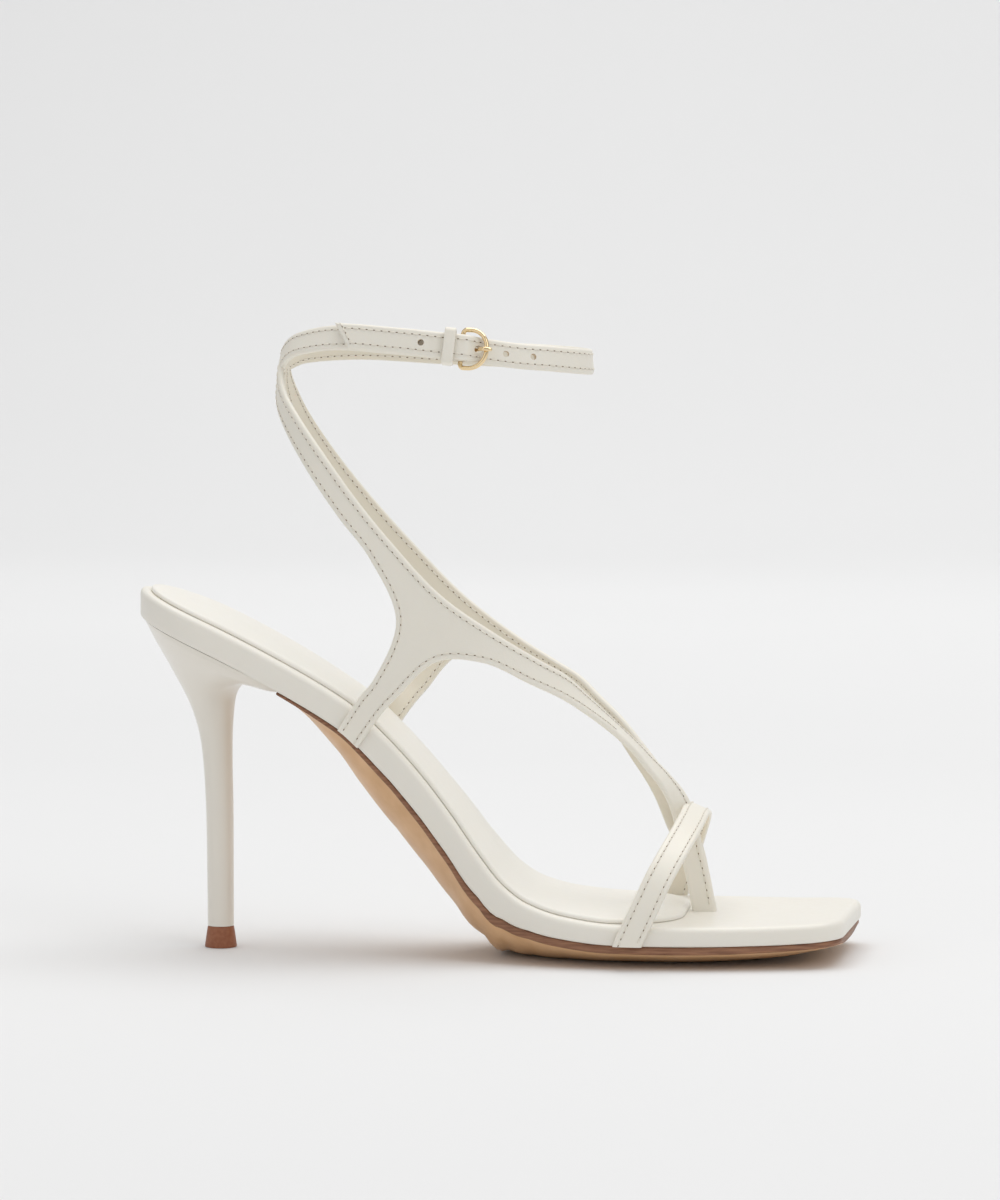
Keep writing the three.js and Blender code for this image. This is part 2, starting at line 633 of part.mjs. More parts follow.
function besidePlatform(side, x, gap) {
  // A place beside the platform's wall, and the direction square to the wall.
  const slope = (halfWidth(side, x + 1) - halfWidth(side, x - 1)) / 2;
  return {
    y: side * (halfWidth(side, x) + gap * Math.hypot(1, slope)),
    face: new THREE.Vector3(-slope, side, 0).normalize(),
  };
}

const levelAt = (x, up) => topAt(x) + up * (ANKLE_LEVEL - topAt(x));

function strapPlace(side, row) {
  // Middle and face of one row of a side strap.
  const x = xOf(row.along);
  const z = levelAt(x, row.up);
  if (row.out === undefined) {
    const wall = besidePlatform(side, x, CLEARANCE + STRAP_THICKNESS / 2);
    return { middle: new THREE.Vector3(x, wall.y, z), face: wall.face };
  }
  const middle = new THREE.Vector3(x, side * row.out * HALF_BALL, z);
  return { middle, face: facing(side, row.turn, row.lean) };
}

function thongRows() {
  // The rows of one layer of the thong, the last of them at the bottom of its slot.
  const last = THONG[THONG.length - 1];
  const top = topAt(xOf(last.along));
  const bottom = { ...last, up: -THONG_DEPTH / (ANKLE_LEVEL - top) };
  const layer = { out: THONG_SPREAD / BALL_WIDTH, turn: 0, lean: 0, wide: THONG_WIDTH / STRAP_WIDTH };
  return [...THONG, bottom].map((row) => ({ ...row, ...layer }));
}

function edgesOf(side, rows, from) {
  // Both edges of an arm, row by row, from the fork outward.
  const places = rows.map((row) => strapPlace(side, row));
  return rows.map((row, i) => {
    const before = i === 0 ? from : places[i - 1].middle;
    const after = places[Math.min(i + 1, rows.length - 1)].middle;
    const run = after.clone().sub(before).normalize();
    const across = run.cross(places[i].face).normalize();
    const half = (STRAP_WIDTH * row.wide) / 2;
    return {
      left: places[i].middle.clone().addScaledVector(across, half),
      right: places[i].middle.clone().addScaledVector(across, -half),
    };
  });
}

function forkedStrap(side, table, steps) {
  // One side strap: three arms whose edges run smoothly into each other around the fork.
  const { middle } = strapPlace(side, table.fork);
  const front = [...table.front, ...thongRows()];
  const arms = [table.arm, front, table.foot].map((rows) => edgesOf(side, rows, middle));
  const sides = ['left', 'right'];
  const nearest = (arm, other) => {
    const pairs = sides.map((s) => [s, Math.min(...sides.map((o) => arm[0][s].distanceTo(other[0][o])))]);
    return pairs[0][1] < pairs[1][1] ? 'left' : 'right';
  };
  const webs = [table.webs.top, table.webs.under, table.webs.rear];
  const chains = arms.map((arm, i) => {
    const other = arms[(i + 1) % 3];
    const near = nearest(arm, other);
    const far = nearest(other, arm);
    const between = arm[0][near].clone().add(other[0][far]).multiplyScalar(0.5).sub(middle);
    const corner = middle.clone().addScaledVector(between.normalize(), FORK_WEB * webs[i]);
    const list = [...arm.map((edge) => edge[near]).reverse(), corner, ...other.map((edge) => edge[far])];
    const curve = new THREE.CatmullRomCurve3(list, false, 'centripetal');
    return { corner, curve, here: arm.length, total: list.length - 1 };
  });
  const at = (chain, place) => chain.curve.getPoint(place / chain.total);
  const patches = arms.map((arm, i) => {
    const after = chains[i];
    const before = chains[(i + 2) % 3];
    const rows = arm.length * steps;
    const grid = [];
    for (let k = 0; k <= rows; k += 1) {
      const away = k / steps;
      const one = at(after, after.here - away);
      const two = at(before, before.here + away);
      grid.push([one, one.clone().lerp(two, 0.5), two]);
    }
    return grid;
  });
  const corners = chains.map((chain) => chain.corner);
  const half = (a, b) => corners[a].clone().lerp(corners[b], 0.5);
  patches.push([[corners[0], half(0, 1), corners[1]], [half(0, 2), half(1, 2)], [corners[2]]]);
  return sheet(orient(patches), STRAP_THICKNESS);
}

function orient(patches) {
  // Reverses grids until all of them run the same way round as the last one.
  const seen = new Map();
  const key = (p) => `${p.x.toFixed(3)},${p.y.toFixed(3)},${p.z.toFixed(3)}`;
  const rim = (grid) => {
    const list = [];
    const first = grid[0];
    for (let j = 0; j + 1 < first.length; j += 1) list.push([key(first[j]), key(first[j + 1])]);
    return list;
  };
  const centre = patches[patches.length - 1];
  const loops = [
    [centre[0][0], centre[0][1], centre[0][2]],
    [centre[0][2], centre[1][1], centre[2][0]],
    [centre[2][0], centre[1][0], centre[0][0]],
  ];
  loops.forEach(([a, b, c]) => {
    seen.set(`${key(a)}|${key(b)}`, true);
    seen.set(`${key(b)}|${key(c)}`, true);
  });
  return patches.map((grid, i) => {
    if (i === patches.length - 1) return grid;
    const same = rim(grid).some(([a, b]) => seen.has(`${a}|${b}`));
    return same ? grid.map((row) => [...row].reverse()) : grid;
  });
}

function ribbon(rows, steps, thickness) {
  // A strip through rows of middle, face and width. skew: how far one edge runs ahead of the other.
  const left = [];
  const right = [];
  rows.forEach((row, i) => {
    const before = rows[Math.max(0, i - 1)].middle;
    const after = rows[Math.min(rows.length - 1, i + 1)].middle;
    const run = after.clone().sub(before).normalize();
    const across = run.clone().cross(row.face).normalize();
    const skew = row.skew ?? 0;
    left.push(row.middle.clone().addScaledVector(across, row.width / 2).addScaledVector(run, skew / 2));
    right.push(row.middle.clone().addScaledVector(across, -row.width / 2).addScaledVector(run, -skew / 2));
  });
  const one = new THREE.CatmullRomCurve3(left, false, 'centripetal');
  const two = new THREE.CatmullRomCurve3(right, false, 'centripetal');
  const count = (rows.length - 1) * steps;
  const grid = [];
  for (let k = 0; k <= count; k += 1) {
    const a = one.getPoint(k / count);
    const b = two.getPoint(k / count);
    grid.push([a, a.clone().lerp(b, 0.5), b]);
  }
  return sheet([grid], thickness);
}

function toeStrapSolid() {
  const rows = TOE_STRAP.map((row) => {
    const x = xOf(row.along);
    const side = row.across < 0 ? -1 : 1;
    const reach = halfWidth(side, x) + CLEARANCE + STRAP_THICKNESS / 2;
    const lean = radians(row.lean);
    const tip = radians(row.tip);
    const face = new THREE.Vector3(0, -Math.cos(lean), Math.sin(lean)).multiplyScalar(Math.cos(tip));
    return {
      middle: new THREE.Vector3(x, row.across * reach, levelAt(x, row.up)),
      face: face.setX(Math.sin(tip)),
      width: TOE_STRAP_WIDTH,
    };
  });
  return ribbon(rows, 2, STRAP_THICKNESS);
}

// Ankle loop

const armEnd = OUTER_STRAP.arm[OUTER_STRAP.arm.length - 1];
const ankleBackX = xOf(armEnd.along) - 0.3 * STRAP_THICKNESS;

function loopPoint(turn) {
  // Middle of the ankle strap's lowest layer.
  const angle = radians(turn);
  const x = ankleBackX + (ANKLE_LENGTH / 2) * (1 - Math.cos(angle));
  const y = -(ANKLE_WIDTH / 2) * Math.sin(angle);
  const z = SEAT_HEIGHT + ANKLE_HEIGHT * read(ANKLE_LOOP, 'turn', 'up', turn);
  return new THREE.Vector3(x, y, z);
}

function loopFrame(turn) {
  // Middle, run toward the front on the outer side, outward face and upward width of the ankle strap.
  const middle = loopPoint(turn);
  const run = loopPoint(turn + 1).sub(loopPoint(turn - 1)).normalize();
  const up = new THREE.Vector3(0, 0, 1);
  const level = new THREE.Vector3().crossVectors(run, up).normalize();
  const lean = radians(read(ANKLE_LOOP, 'turn', 'lean', turn));
  const face = level.multiplyScalar(Math.cos(lean)).addScaledVector(up, Math.sin(lean));
  face.addScaledVector(run, -face.dot(run)).normalize();
  const across = new THREE.Vector3().crossVectors(face, run).normalize();
  return { middle, run, face, across };
}

function turnAfter(turn, distance) {
  // The turn at which the loop has run a distance further.
  const step = 0.25 * Math.sign(distance);
  let left = Math.abs(distance);
  let here = turn;
  while (left > 0) {
    const length = loopPoint(here).distanceTo(loopPoint(here + step));
    here += step * Math.min(1, left / length);
    left -= length;
  }
  return here;
}

const layerGap = STRAP_THICKNESS + CLEARANCE;
const boreRadius = WIRE / 2 + CLEARANCE;
const foldRadius = boreRadius + FOLD_LAYER;
const overBar = foldRadius + CLEARANCE + STRAP_THICKNESS / 2;

// How far the strap's long end lies outside the lowest layer, by its distance ahead of the buckle's bar.
const LAYERS = [
  { ahead: -6, lift: layerGap },
  { ahead: -4, lift: layerGap + 0.2 },
  { ahead: -0.5, lift: overBar },
  { ahead: 0.6, lift: overBar },
  { ahead: 4.4, lift: 0.62 * STRAP_THICKNESS },
  { ahead: 7.6, lift: 0.25 * STRAP_THICKNESS },
  { ahead: 14, lift: 0 },
];

function distanceAhead(turn) {
  // Distance along the loop from the buckle's bar, positive toward the front.
  const sign = Math.sign(turn - BUCKLE_TURN);
  const step = 0.5;
  let total = 0;
  for (let t = BUCKLE_TURN; sign * (turn - t) > 1e-9; t += sign * step) {
    const next = sign * (turn - t) < step ? turn : t + sign * step;
    total += loopPoint(t).distanceTo(loopPoint(next));
  }
  return sign * total;
}

function longEnd(turn) {
  // Place and frame of the long end, which lies over the lowest layer behind the bar.
  const frame = loopFrame(turn);
  const lift = read(LAYERS, 'ahead', 'lift', distanceAhead(turn));
  return { ...frame, middle: frame.middle.clone().addScaledVector(frame.face, lift) };
}

const holeTurn = turnAfter(BUCKLE_TURN, HOLE_AHEAD);

function holeCutters() {
  // Cutters stop short of the lowest layer where that lies under the long end.
  const cutters = [];
  for (let k = -HOLES_BEHIND; k <= HOLES_AHEAD; k += 1) {
    const frame = longEnd(k === 0 ? holeTurn : turnAfter(holeTurn, k * HOLE_PITCH));
    const depth = k < 0 ? STRAP_THICKNESS + CLEARANCE : 2.2 * STRAP_THICKNESS;
    const radius = (k === 0 ? PRONG_HOLE : HOLE_DIAMETER) / 2;
    const hole = new THREE.CylinderGeometry(radius, radius, depth, 12);
    hole.rotateX(Math.PI / 2);
    cutters.push(solidOf(placed(hole, frame)));
  }
  return cutters;
}

function placed(geometry, frame) {
  // Moves a geometry from the buckle's own axes (run, width, outward) to its place on the loop.
  const matrix = new THREE.Matrix4().makeBasis(frame.run, frame.across, frame.face);
  matrix.setPosition(frame.middle);
  return geometry.applyMatrix4(matrix);
}

function ankleStrapSolid() {
  // One strip from its fold around the buckle's bar, round the back and the front, to its free end.
  const far = BUCKLE_TURN - 360;
  const rows = [];
  const add = ({ middle, face }) => rows.push({ middle, face, width: ANKLE_STRAP_WIDTH });
  const longEndFrom = far + 36;
  const slantFrom = TAIL_END_TURN - 360 + 5;
  for (let turn = BUCKLE_TURN; turn > longEndFrom + 4; turn -= 8) add(loopFrame(turn));
  for (let turn = longEndFrom; turn > slantFrom; turn -= 3) add(longEnd(turn + 360));
  add(longEnd(TAIL_END_TURN));
  rows[rows.length - 1].skew = TAIL_SKEW;
  const bar = loopFrame(BUCKLE_TURN);
  const fold = (radius, width) => solidOf(placed(new THREE.CylinderGeometry(radius, radius, width, 20), bar));
  const slot = new THREE.BoxGeometry(4 * foldRadius, PRONG_WIDTH + 2 * CLEARANCE, 4 * foldRadius);
  let strap = ribbon(rows, 1, STRAP_THICKNESS);
  strap = strap.add(fold(foldRadius, ANKLE_STRAP_WIDTH));
  strap = strap.subtract(fold(boreRadius, 2 * ANKLE_STRAP_WIDTH));
  const aroundFold = fold(foldRadius + CLEARANCE, ANKLE_STRAP_WIDTH);
  strap = strap.subtract(solidOf(placed(slot, bar)).intersect(aroundFold));
  holeCutters().forEach((hole) => {
    strap = strap.subtract(hole);
  });
  return strap;
}

// Buckle and keeper, each built about the bar or its own place on the loop

function tube(path, radius, sides) {
  // A round wire along a closed path that lies in the plane of run and width.
  const rings = path.map((p, i) => {
    const before = path[(i + path.length - 1) % path.length];
    const after = path[(i + 1) % path.length];
    const run = after.clone().sub(before).normalize();
    const out = new THREE.Vector3(0, 0, 1);
    const side = new THREE.Vector3().crossVectors(run, out).normalize();
    return Array.from({ length: sides }, (_, k) => {
      const angle = (2 * Math.PI * k) / sides;
      const around = side.clone().multiplyScalar(Math.cos(angle)).addScaledVector(out, Math.sin(angle));
      return p.clone().addScaledVector(around, radius);
    });
  });
  const positions = rings.flat().flatMap((p) => [p.x, p.y, p.z]);
  const triangles = [];
  rings.forEach((ring, i) => ring.forEach((_, j) => {
    const next = (i + 1) % rings.length;
    const a = i * sides + j;
    const b = i * sides + ((j + 1) % sides);
    const c = next * sides + ((j + 1) % sides);
    const d = next * sides + j;
    triangles.push(a, b, c, a, c, d);
  }));
  return { positions, triangles };
}

function framePath() {
  // Middle of the frame's wire: small corners at the bar, large ones at the front.
  const high = (FRAME_HEIGHT - WIRE) / 2;
  const long = FRAME_LENGTH - WIRE;
  const path = [];
  const corner = (x, y, radius, start) => {
    for (let i = 0; i <= 5; i += 1) {
      const angle = radians(start + 18 * i);
      path.push(new THREE.Vector3(x + radius * Math.cos(angle), y + radius * Math.sin(angle), 0));
    }
  };
  const rear = FRAME_REAR_CORNER - WIRE / 2;
  corner(long - frontRadius, high - frontRadius, frontRadius, 0);
  corner(rear, high - rear, rear, 90);
  corner(rear, -high + rear, rear, 180);
  corner(long - frontRadius, -high + frontRadius, frontRadius, 270);
  return path;
}

// The frame's round front needs the most lift where it crosses the strap's edges.
const frontRadius = FRAME_FRONT_CORNER - WIRE / 2;
const crossingHeight = (ANKLE_STRAP_WIDTH + WIRE) / 2 - (FRAME_HEIGHT / 2 - FRAME_FRONT_CORNER);
const crossing = FRAME_LENGTH - WIRE - frontRadius + Math.sqrt(frontRadius ** 2 - crossingHeight ** 2);
const overStrap = read(LAYERS, 'ahead', 'lift', crossing) + (STRAP_THICKNESS + WIRE) / 2 + CLEARANCE;
const frontBarLift = (overStrap * (FRAME_LENGTH - WIRE)) / crossing;

function buckleFrameSolid() {
  // The frame tips outward from its bar, so that its front clears the strap.
  const { positions, triangles } = tube(framePath(), WIRE / 2, 10);
  const geometry = new THREE.BufferGeometry();
  geometry.setAttribute('position', new THREE.Float32BufferAttribute(positions, 3));
  geometry.setIndex(triangles);
  geometry.rotateY(-Math.atan2(frontBarLift, FRAME_LENGTH - WIRE));
  placed(geometry, loopFrame(BUCKLE_TURN));
  return outward(Array.from(geometry.attributes.position.array), triangles);
}

function prongSolid() {
  // An eye around the bar and a bent pin, out through the strap's hole and onto the frame's front.
  const bar = loopFrame(BUCKLE_TURN);
  const eye = (radius, width) => solidOf(placed(new THREE.CylinderGeometry(radius, radius, width, 20), bar));
  const over = frontBarLift + WIRE / 2 + CLEARANCE + PRONG_THICKNESS / 2;
  const rows = [
    { run: boreRadius + 0.3, lift: 0 },
    { run: HOLE_AHEAD - 1.6, lift: 0.1 },
    { run: HOLE_AHEAD - 0.5, lift: 0.35 },
    { run: HOLE_AHEAD, lift: 1.1 },
    { run: HOLE_AHEAD + 0.1, lift: 2.2 },
    { run: HOLE_AHEAD + 0.5, lift: 3.2 },
    { run: HOLE_AHEAD + 1.6, lift: over - 0.1 },
    { run: FRAME_LENGTH - WIRE + 0.9, lift: over },
  ].map((row, i, list) => {
    const next = list[Math.min(i + 1, list.length - 1)];
    const last = list[Math.max(i - 1, 0)];
    const slope = new THREE.Vector2(next.run - last.run, next.lift - last.lift).normalize();
    return {
      middle: bar.middle.clone().addScaledVector(bar.run, row.run).addScaledVector(bar.face, row.lift),
      face: bar.face.clone().multiplyScalar(slope.x).addScaledVector(bar.run, -slope.y),
      width: PRONG_WIDTH,
    };
  });
  const pin = ribbon(rows, 2, PRONG_THICKNESS);
  return eye(foldRadius, PRONG_WIDTH).add(pin).subtract(eye(boreRadius, 2 * PRONG_WIDTH));
}

function keeperSolid() {
  const frame = loopFrame(KEEPER_TURN);
  const low = -STRAP_THICKNESS / 2 - CLEARANCE;
  const lift = read(LAYERS, 'ahead', 'lift', distanceAhead(KEEPER_TURN) + KEEPER_WIDTH / 2);
  const high = lift + STRAP_THICKNESS / 2 + 1.5 * CLEARANCE;
  const inside = new THREE.BoxGeometry(2 * KEEPER_WIDTH, ANKLE_STRAP_WIDTH + 3 * CLEARANCE, high - low);
  const outside = new THREE.BoxGeometry(
    KEEPER_WIDTH, ANKLE_STRAP_WIDTH + 3 * CLEARANCE + 2 * KEEPER_WALL, high - low + 2 * KEEPER_WALL);
  inside.translate(0, 0, (high + low) / 2);
  outside.translate(0, 0, (high + low) / 2);
  return solidOf(placed(outside, frame)).subtract(solidOf(placed(inside, frame)));
}

function upperSolid() {
  // All straps, joined where they cross, their feet cut level with the platform's underside.
  const straps = Manifold.union([
    forkedStrap(-1, OUTER_STRAP, 3),
    forkedStrap(1, INNER_STRAP, 3),
    toeStrapSolid(),
    ankleStrapSolid(),
  ]);
  return straps.intersect(aboveUnderside(0));
}

const materials = {
  leather: new THREE.MeshStandardMaterial({ color: 0xe6e2d6, roughness: 0.55, metalness: 0 }),
  sock: new THREE.MeshStandardMaterial({ color: 0xf0ece1, roughness: 0.6, metalness: 0 }),
  sole: new THREE.MeshStandardMaterial({ color: 0xb9825a, roughness: 0.5, metalness: 0 }),
  lacquer: new THREE.MeshStandardMaterial({ color: 0xe9e4d8, roughness: 0.2, metalness: 0 }),
  rubber: new THREE.MeshStandardMaterial({ color: 0x8a4a30, roughness: 0.6, metalness: 0 }),
  gold: new THREE.MeshStandardMaterial({ color: 0xd9c08a, roughness: 0.2, metalness: 1 }),
};

const sandal = new THREE.Group();
sandal.add(meshOf('outsole', outsoleSolid(), materials.sole));
sandal.add(meshOf('platform', platformSolid(), materials.leather));
sandal.add(meshOf('insole', sockSolid(), materials.sock));
sandal.add(meshOf('heel', heelSolid(), materials.lacquer));
sandal.add(meshOf('heel_tip', heelTipSolid(), materials.rubber));
sandal.add(meshOf('upper', upperSolid(), materials.leather));
sandal.add(meshOf('buckle_frame', buckleFrameSolid(), materials.gold));
sandal.add(meshOf('buckle_prong', prongSolid(), materials.gold));
sandal.add(meshOf('keeper_loop', keeperSolid(), materials.leather));

export default sandal;
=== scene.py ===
"""Looks of the strappy heeled sandal. Sizes are in millimetres until a mesh is made, which is in metres."""

from math import atan2, copysign, cos, hypot, pi, radians, sin, sqrt

import bmesh
import bpy
import numpy as np
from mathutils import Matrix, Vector
from mathutils.bvhtree import BVHTree
from numpy.linalg import norm


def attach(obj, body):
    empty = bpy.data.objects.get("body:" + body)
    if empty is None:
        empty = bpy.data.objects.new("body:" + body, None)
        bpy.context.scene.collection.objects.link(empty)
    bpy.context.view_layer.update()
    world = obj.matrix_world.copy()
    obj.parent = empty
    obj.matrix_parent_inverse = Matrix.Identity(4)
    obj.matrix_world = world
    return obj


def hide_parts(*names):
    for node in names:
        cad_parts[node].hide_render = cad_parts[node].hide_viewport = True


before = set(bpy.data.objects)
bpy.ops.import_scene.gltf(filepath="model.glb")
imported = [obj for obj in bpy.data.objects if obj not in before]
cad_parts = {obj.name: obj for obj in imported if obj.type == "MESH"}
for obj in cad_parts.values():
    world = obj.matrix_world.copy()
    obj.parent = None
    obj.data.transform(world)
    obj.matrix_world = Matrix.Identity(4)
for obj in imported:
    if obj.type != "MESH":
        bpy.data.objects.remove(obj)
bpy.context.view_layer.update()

MM = 0.001

# Driving dimensions, the same as the solid part's
SHOE_LENGTH = 217.0
HEEL_OVERHANG = 24.0
HALF_BALL = 40.0
SEAT_HEIGHT = 111.0
FOREFOOT_HEIGHT = 13.0
ANKLE_HEIGHT = 71.0
CLEARANCE = 0.3
PLATFORM_THICKNESS = 8.2
REAR_ROUND = 23.0
TOE_ROUND = 10.0
TOE_SLANT = 3.0
SOCK_INSET = 3.3
SOCK_THICKNESS = 1.3
SOCK_PADDING = 1.3
SOCK_END_ROUND = 24.0
SOCK_THONG_GAP = 1.5
OUTSOLE_EDGE = 2.2
OUTSOLE_INSET = 0.6
SOLE_BULGE = 7.5
BULGE_POWER = 2.6
BREAST_X = 21.0
HEEL_STEM = 8.0
TIP_HEIGHT = 6.6
TIP_FLARE = 0.9
SEAT_WIDTH = 49.0
END_HALF = 0.6
STRAP_WIDTH = 8.0
STRAP_THICKNESS = 1.8
TOE_STRAP_WIDTH = 8.2
THONG_WIDTH = 7.2
THONG_SPREAD = 1.6
THONG_DEPTH = 2.5
ANKLE_STRAP_WIDTH = 7.8
FORK_WEB = 12.5
ANKLE_LENGTH = 93.5
ANKLE_WIDTH = 50.0
WIRE = 1.4
FRAME_HEIGHT = 12.9
FRAME_LENGTH = 9.4
FRAME_REAR_CORNER = 1.9
FRAME_FRONT_CORNER = 6.1
PRONG_WIDTH = 1.2
PRONG_THICKNESS = 0.8
PRONG_HOLE = 2.4
HOLE_DIAMETER = 1.9
HOLE_PITCH = 8.4
HOLE_AHEAD = 4.8
FOLD_LAYER = 0.8
KEEPER_WIDTH = 3.4
KEEPER_WALL = 1.1
BUCKLE_TURN = 103.0
KEEPER_TURN = 98.3
TAIL_END_TURN = 57.5
TAIL_SKEW = 5.8

# Sizes of what only the looks have
EDGE_ROUND = 2.0
STITCH_INSET = 1.65
STITCH_PITCH = 2.3
STITCH_LENGTH = 1.65
THREAD_RADIUS = 0.21
PINHOLE_HALVES = (0.36, 0.17)
SOCK_ROUND = 1.2
SOCK_FADE = 14.0
ROUND_STATIONS = 14
STRIP_ROUND_STEPS = 6
RELAX_REACH = 17.0
CORNER_SHARE = 0.87
BAR_SIDES = 40
BACK_LAP = 0.3
HOLE_DEPTH = 2.2
EYE_WIRE = 0.5
KEEPER_CORNER = 0.9
KEEPER_EDGE = 0.45
PRONG_STEPS = 56
LOWER_STITCH_END = 124.0

REAR_X = -HEEL_OVERHANG
TOE_X = REAR_X + SHOE_LENGTH
HEEL_RISE = SEAT_HEIGHT - FOREFOOT_HEIGHT
ANKLE_LEVEL = SEAT_HEIGHT + ANKLE_HEIGHT


def table(columns, rows):
    """A small table as one list per named column."""
    names = columns.split()
    return {name: [row[i] for row in rows] for i, name in enumerate(names)}


# Footbed from the side: shares of the length, heel's rise, thickness, outsole's edge and its bulge
FOOTBED = table("along rise thick edge bulge", [
    (0.000, 1.000, 1.00, 0.15, 0.00),
    (0.107, 0.899, 1.00, 0.15, 0.00),
    (0.207, 0.787, 1.00, 0.30, 0.03),
    (0.280, 0.694, 1.00, 0.50, 0.90),
    (0.313, 0.645, 1.00, 0.60, 1.30),
    (0.366, 0.537, 1.00, 0.62, 1.38),
    (0.410, 0.430, 0.98, 0.64, 1.30),
    (0.450, 0.318, 0.95, 0.68, 1.14),
    (0.490, 0.196, 0.92, 0.76, 0.95),
    (0.525, 0.106, 0.89, 0.86, 0.98),
    (0.560, 0.055, 0.84, 0.95, 1.02),
    (0.610, 0.022, 0.78, 1.00, 0.89),
    (0.680, 0.004, 0.74, 1.00, 0.76),
    (0.780, 0.000, 0.71, 1.00, 0.73),
    (0.900, 0.002, 0.69, 0.85, 0.60),
    (1.000, 0.010, 0.67, 0.65, 0.15),
])

# Footbed from above: half widths as shares of half the ball width
OUTLINE = table("along outer inner", [
    (0.000, 0.640, 0.640),
    (0.110, 0.655, 0.655),
    (0.200, 0.650, 0.610),
    (0.280, 0.630, 0.500),
    (0.360, 0.640, 0.400),
    (0.410, 0.665, 0.390),
    (0.460, 0.715, 0.460),
    (0.520, 0.805, 0.620),
    (0.590, 0.920, 0.800),
    (0.660, 0.995, 0.910),
    (0.730, 1.015, 0.955),
    (0.800, 1.000, 0.960),
    (0.870, 0.945, 0.920),
    (0.940, 0.870, 0.860),
    (1.000, 0.800, 0.800),
])

# Heel from the seat down: back, front, drop at the back, drop at the front, half width, squareness
HEEL_RINGS = [
    (0.950, 0.860, 0.000, 0.000, 1.000, 1.00),
    (0.840, 0.815, 0.052, 0.022, 0.880, 0.95),
    (0.690, 0.640, 0.112, 0.036, 0.720, 0.70),
    (0.530, 0.470, 0.178, 0.050, 0.530, 0.40),
    (0.400, 0.320, 0.236, 0.075, 0.370, 0.20),
    (0.310, 0.220, 0.296, 0.125, 0.270, 0.05),
    (0.255, 0.178, 0.352, 0.200, 0.215, 0.00),
    (0.215, 0.158, 0.440, 0.320, 0.185, 0.00),
]

# Side straps, rows from the fork outward: along, out, up, turn, lean, wide.
# out None: flat against the platform's side.
OUTER_STRAP = {
    "fork": (0.424, 0.845, 0.388, 0, 4, 1),
    "arm": [
        (0.357, 0.790, 0.490, 4, 4, 1.03),
        (0.310, 0.720, 0.562, 12, 4, 0.98),
        (0.263, 0.610, 0.670, 26, 3, 0.97),
        (0.225, 0.420, 0.775, 48, 0, 0.98),
        (0.205, 0.240, 0.850, 68, 0, 1.02),
        (0.201, 0.130, 0.915, 80, 0, 0.96),
        (0.204, 0.060, 0.975, 86, 0, 0.88),
    ],
    "foot": [
        (0.363, 0.765, 0.140, 0, 8, 1.12),
        (0.341, 0.712, 0.055, 0, 4, 1.06),
        (0.322, None, -0.030, 0, 0, 1.03),
        (0.300, None, -0.135, 0, 0, 1.00),
    ],
    "front": [
        (0.509, 0.830, 0.437, 0, 14, 1.18),
        (0.568, 0.745, 0.426, 0, 26, 1.02),
        (0.607, 0.635, 0.405, 0, 38, 1.00),
        (0.637, 0.495, 0.374, 0, 50, 0.97),
        (0.670, 0.325, 0.335, 0, 58, 0.93),
        (0.699, 0.200, 0.296, 0, 62, 0.90),
        (0.717, 0.138, 0.268, 0, 63, 0.90),
        (0.737, 0.088, 0.238, 0, 62, 0.90),
        (0.756, 0.045, 0.200, 0, 56, 0.90),
        (0.769, 0.021, 0.150, 0, 18, 0.90),
    ],
}
INNER_STRAP = {
    "fork": (0.418, 0.770, 0.355, 0, 4, 1),
    "arm": [
        (0.357, 0.735, 0.450, 4, 4, 1.03),
        (0.303, 0.680, 0.525, 12, 4, 0.98),
        (0.254, 0.590, 0.635, 26, 3, 0.97),
        (0.220, 0.415, 0.755, 48, 0, 0.97),
        (0.207, 0.240, 0.845, 68, 0, 0.95),
        (0.202, 0.130, 0.915, 80, 0, 0.90),
        (0.204, 0.060, 0.975, 86, 0, 0.85),
    ],
    "foot": [
        (0.372, 0.610, 0.130, 0, 10, 1.12),
        (0.353, 0.490, 0.050, 0, 8, 1.06),
        (0.337, None, -0.030, 0, 0, 1.03),
        (0.316, None, -0.135, 0, 0, 1.00),
    ],
    "front": [
        (0.509, 0.745, 0.405, 0, 14, 1.18),
        (0.568, 0.650, 0.400, 0, 26, 1.02),
        (0.607, 0.545, 0.385, 0, 38, 1.00),
        (0.637, 0.435, 0.358, 0, 44, 0.97),
        (0.670, 0.290, 0.322, 0, 42, 0.93),
        (0.699, 0.190, 0.277, 0, 38, 0.91),
        (0.718, 0.140, 0.246, 0, 34, 0.90),
        (0.736, 0.088, 0.212, 0, 22, 0.90),
        (0.758, 0.026, 0.151, 0, 4, 0.90),
    ],
}
WEBS = (0.74, 0.94, 0.80)
THONG = [(0.774, 0.115), (0.783, 0.070), (0.790, 0.025), (0.794, 0.000)]

# Toe strap: along, across the platform (-1 outer side, 1 inner side), up, lean, tip toward the toe
TOE_STRAP = [
    (0.6940, -1.000, -0.058, 0, 0),
    (0.7015, -1.000, -0.031, 0, 0),
    (0.7110, -1.000, -0.004, 0, 2),
    (0.7250, -0.995, 0.035, 5, 4),
    (0.7420, -0.930, 0.083, 22, 8),
    (0.7580, -0.780, 0.122, 44, 14),
    (0.7710, -0.530, 0.152, 64, 19),
    (0.7790, -0.260, 0.172, 78, 23),
    (0.7820, 0.020, 0.182, 90, 23),
    (0.7820, 0.300, 0.176, 104, 22),
    (0.7770, 0.560, 0.155, 122, 18),
    (0.7680, 0.790, 0.121, 140, 12),
    (0.7570, 0.940, 0.078, 160, 6),
    (0.7470, 0.998, 0.033, 176, 2),
    (0.7380, 1.000, -0.004, 180, 0),
    (0.7310, 1.000, -0.031, 180, 0),
    (0.7240, 1.000, -0.058, 180, 0),
]

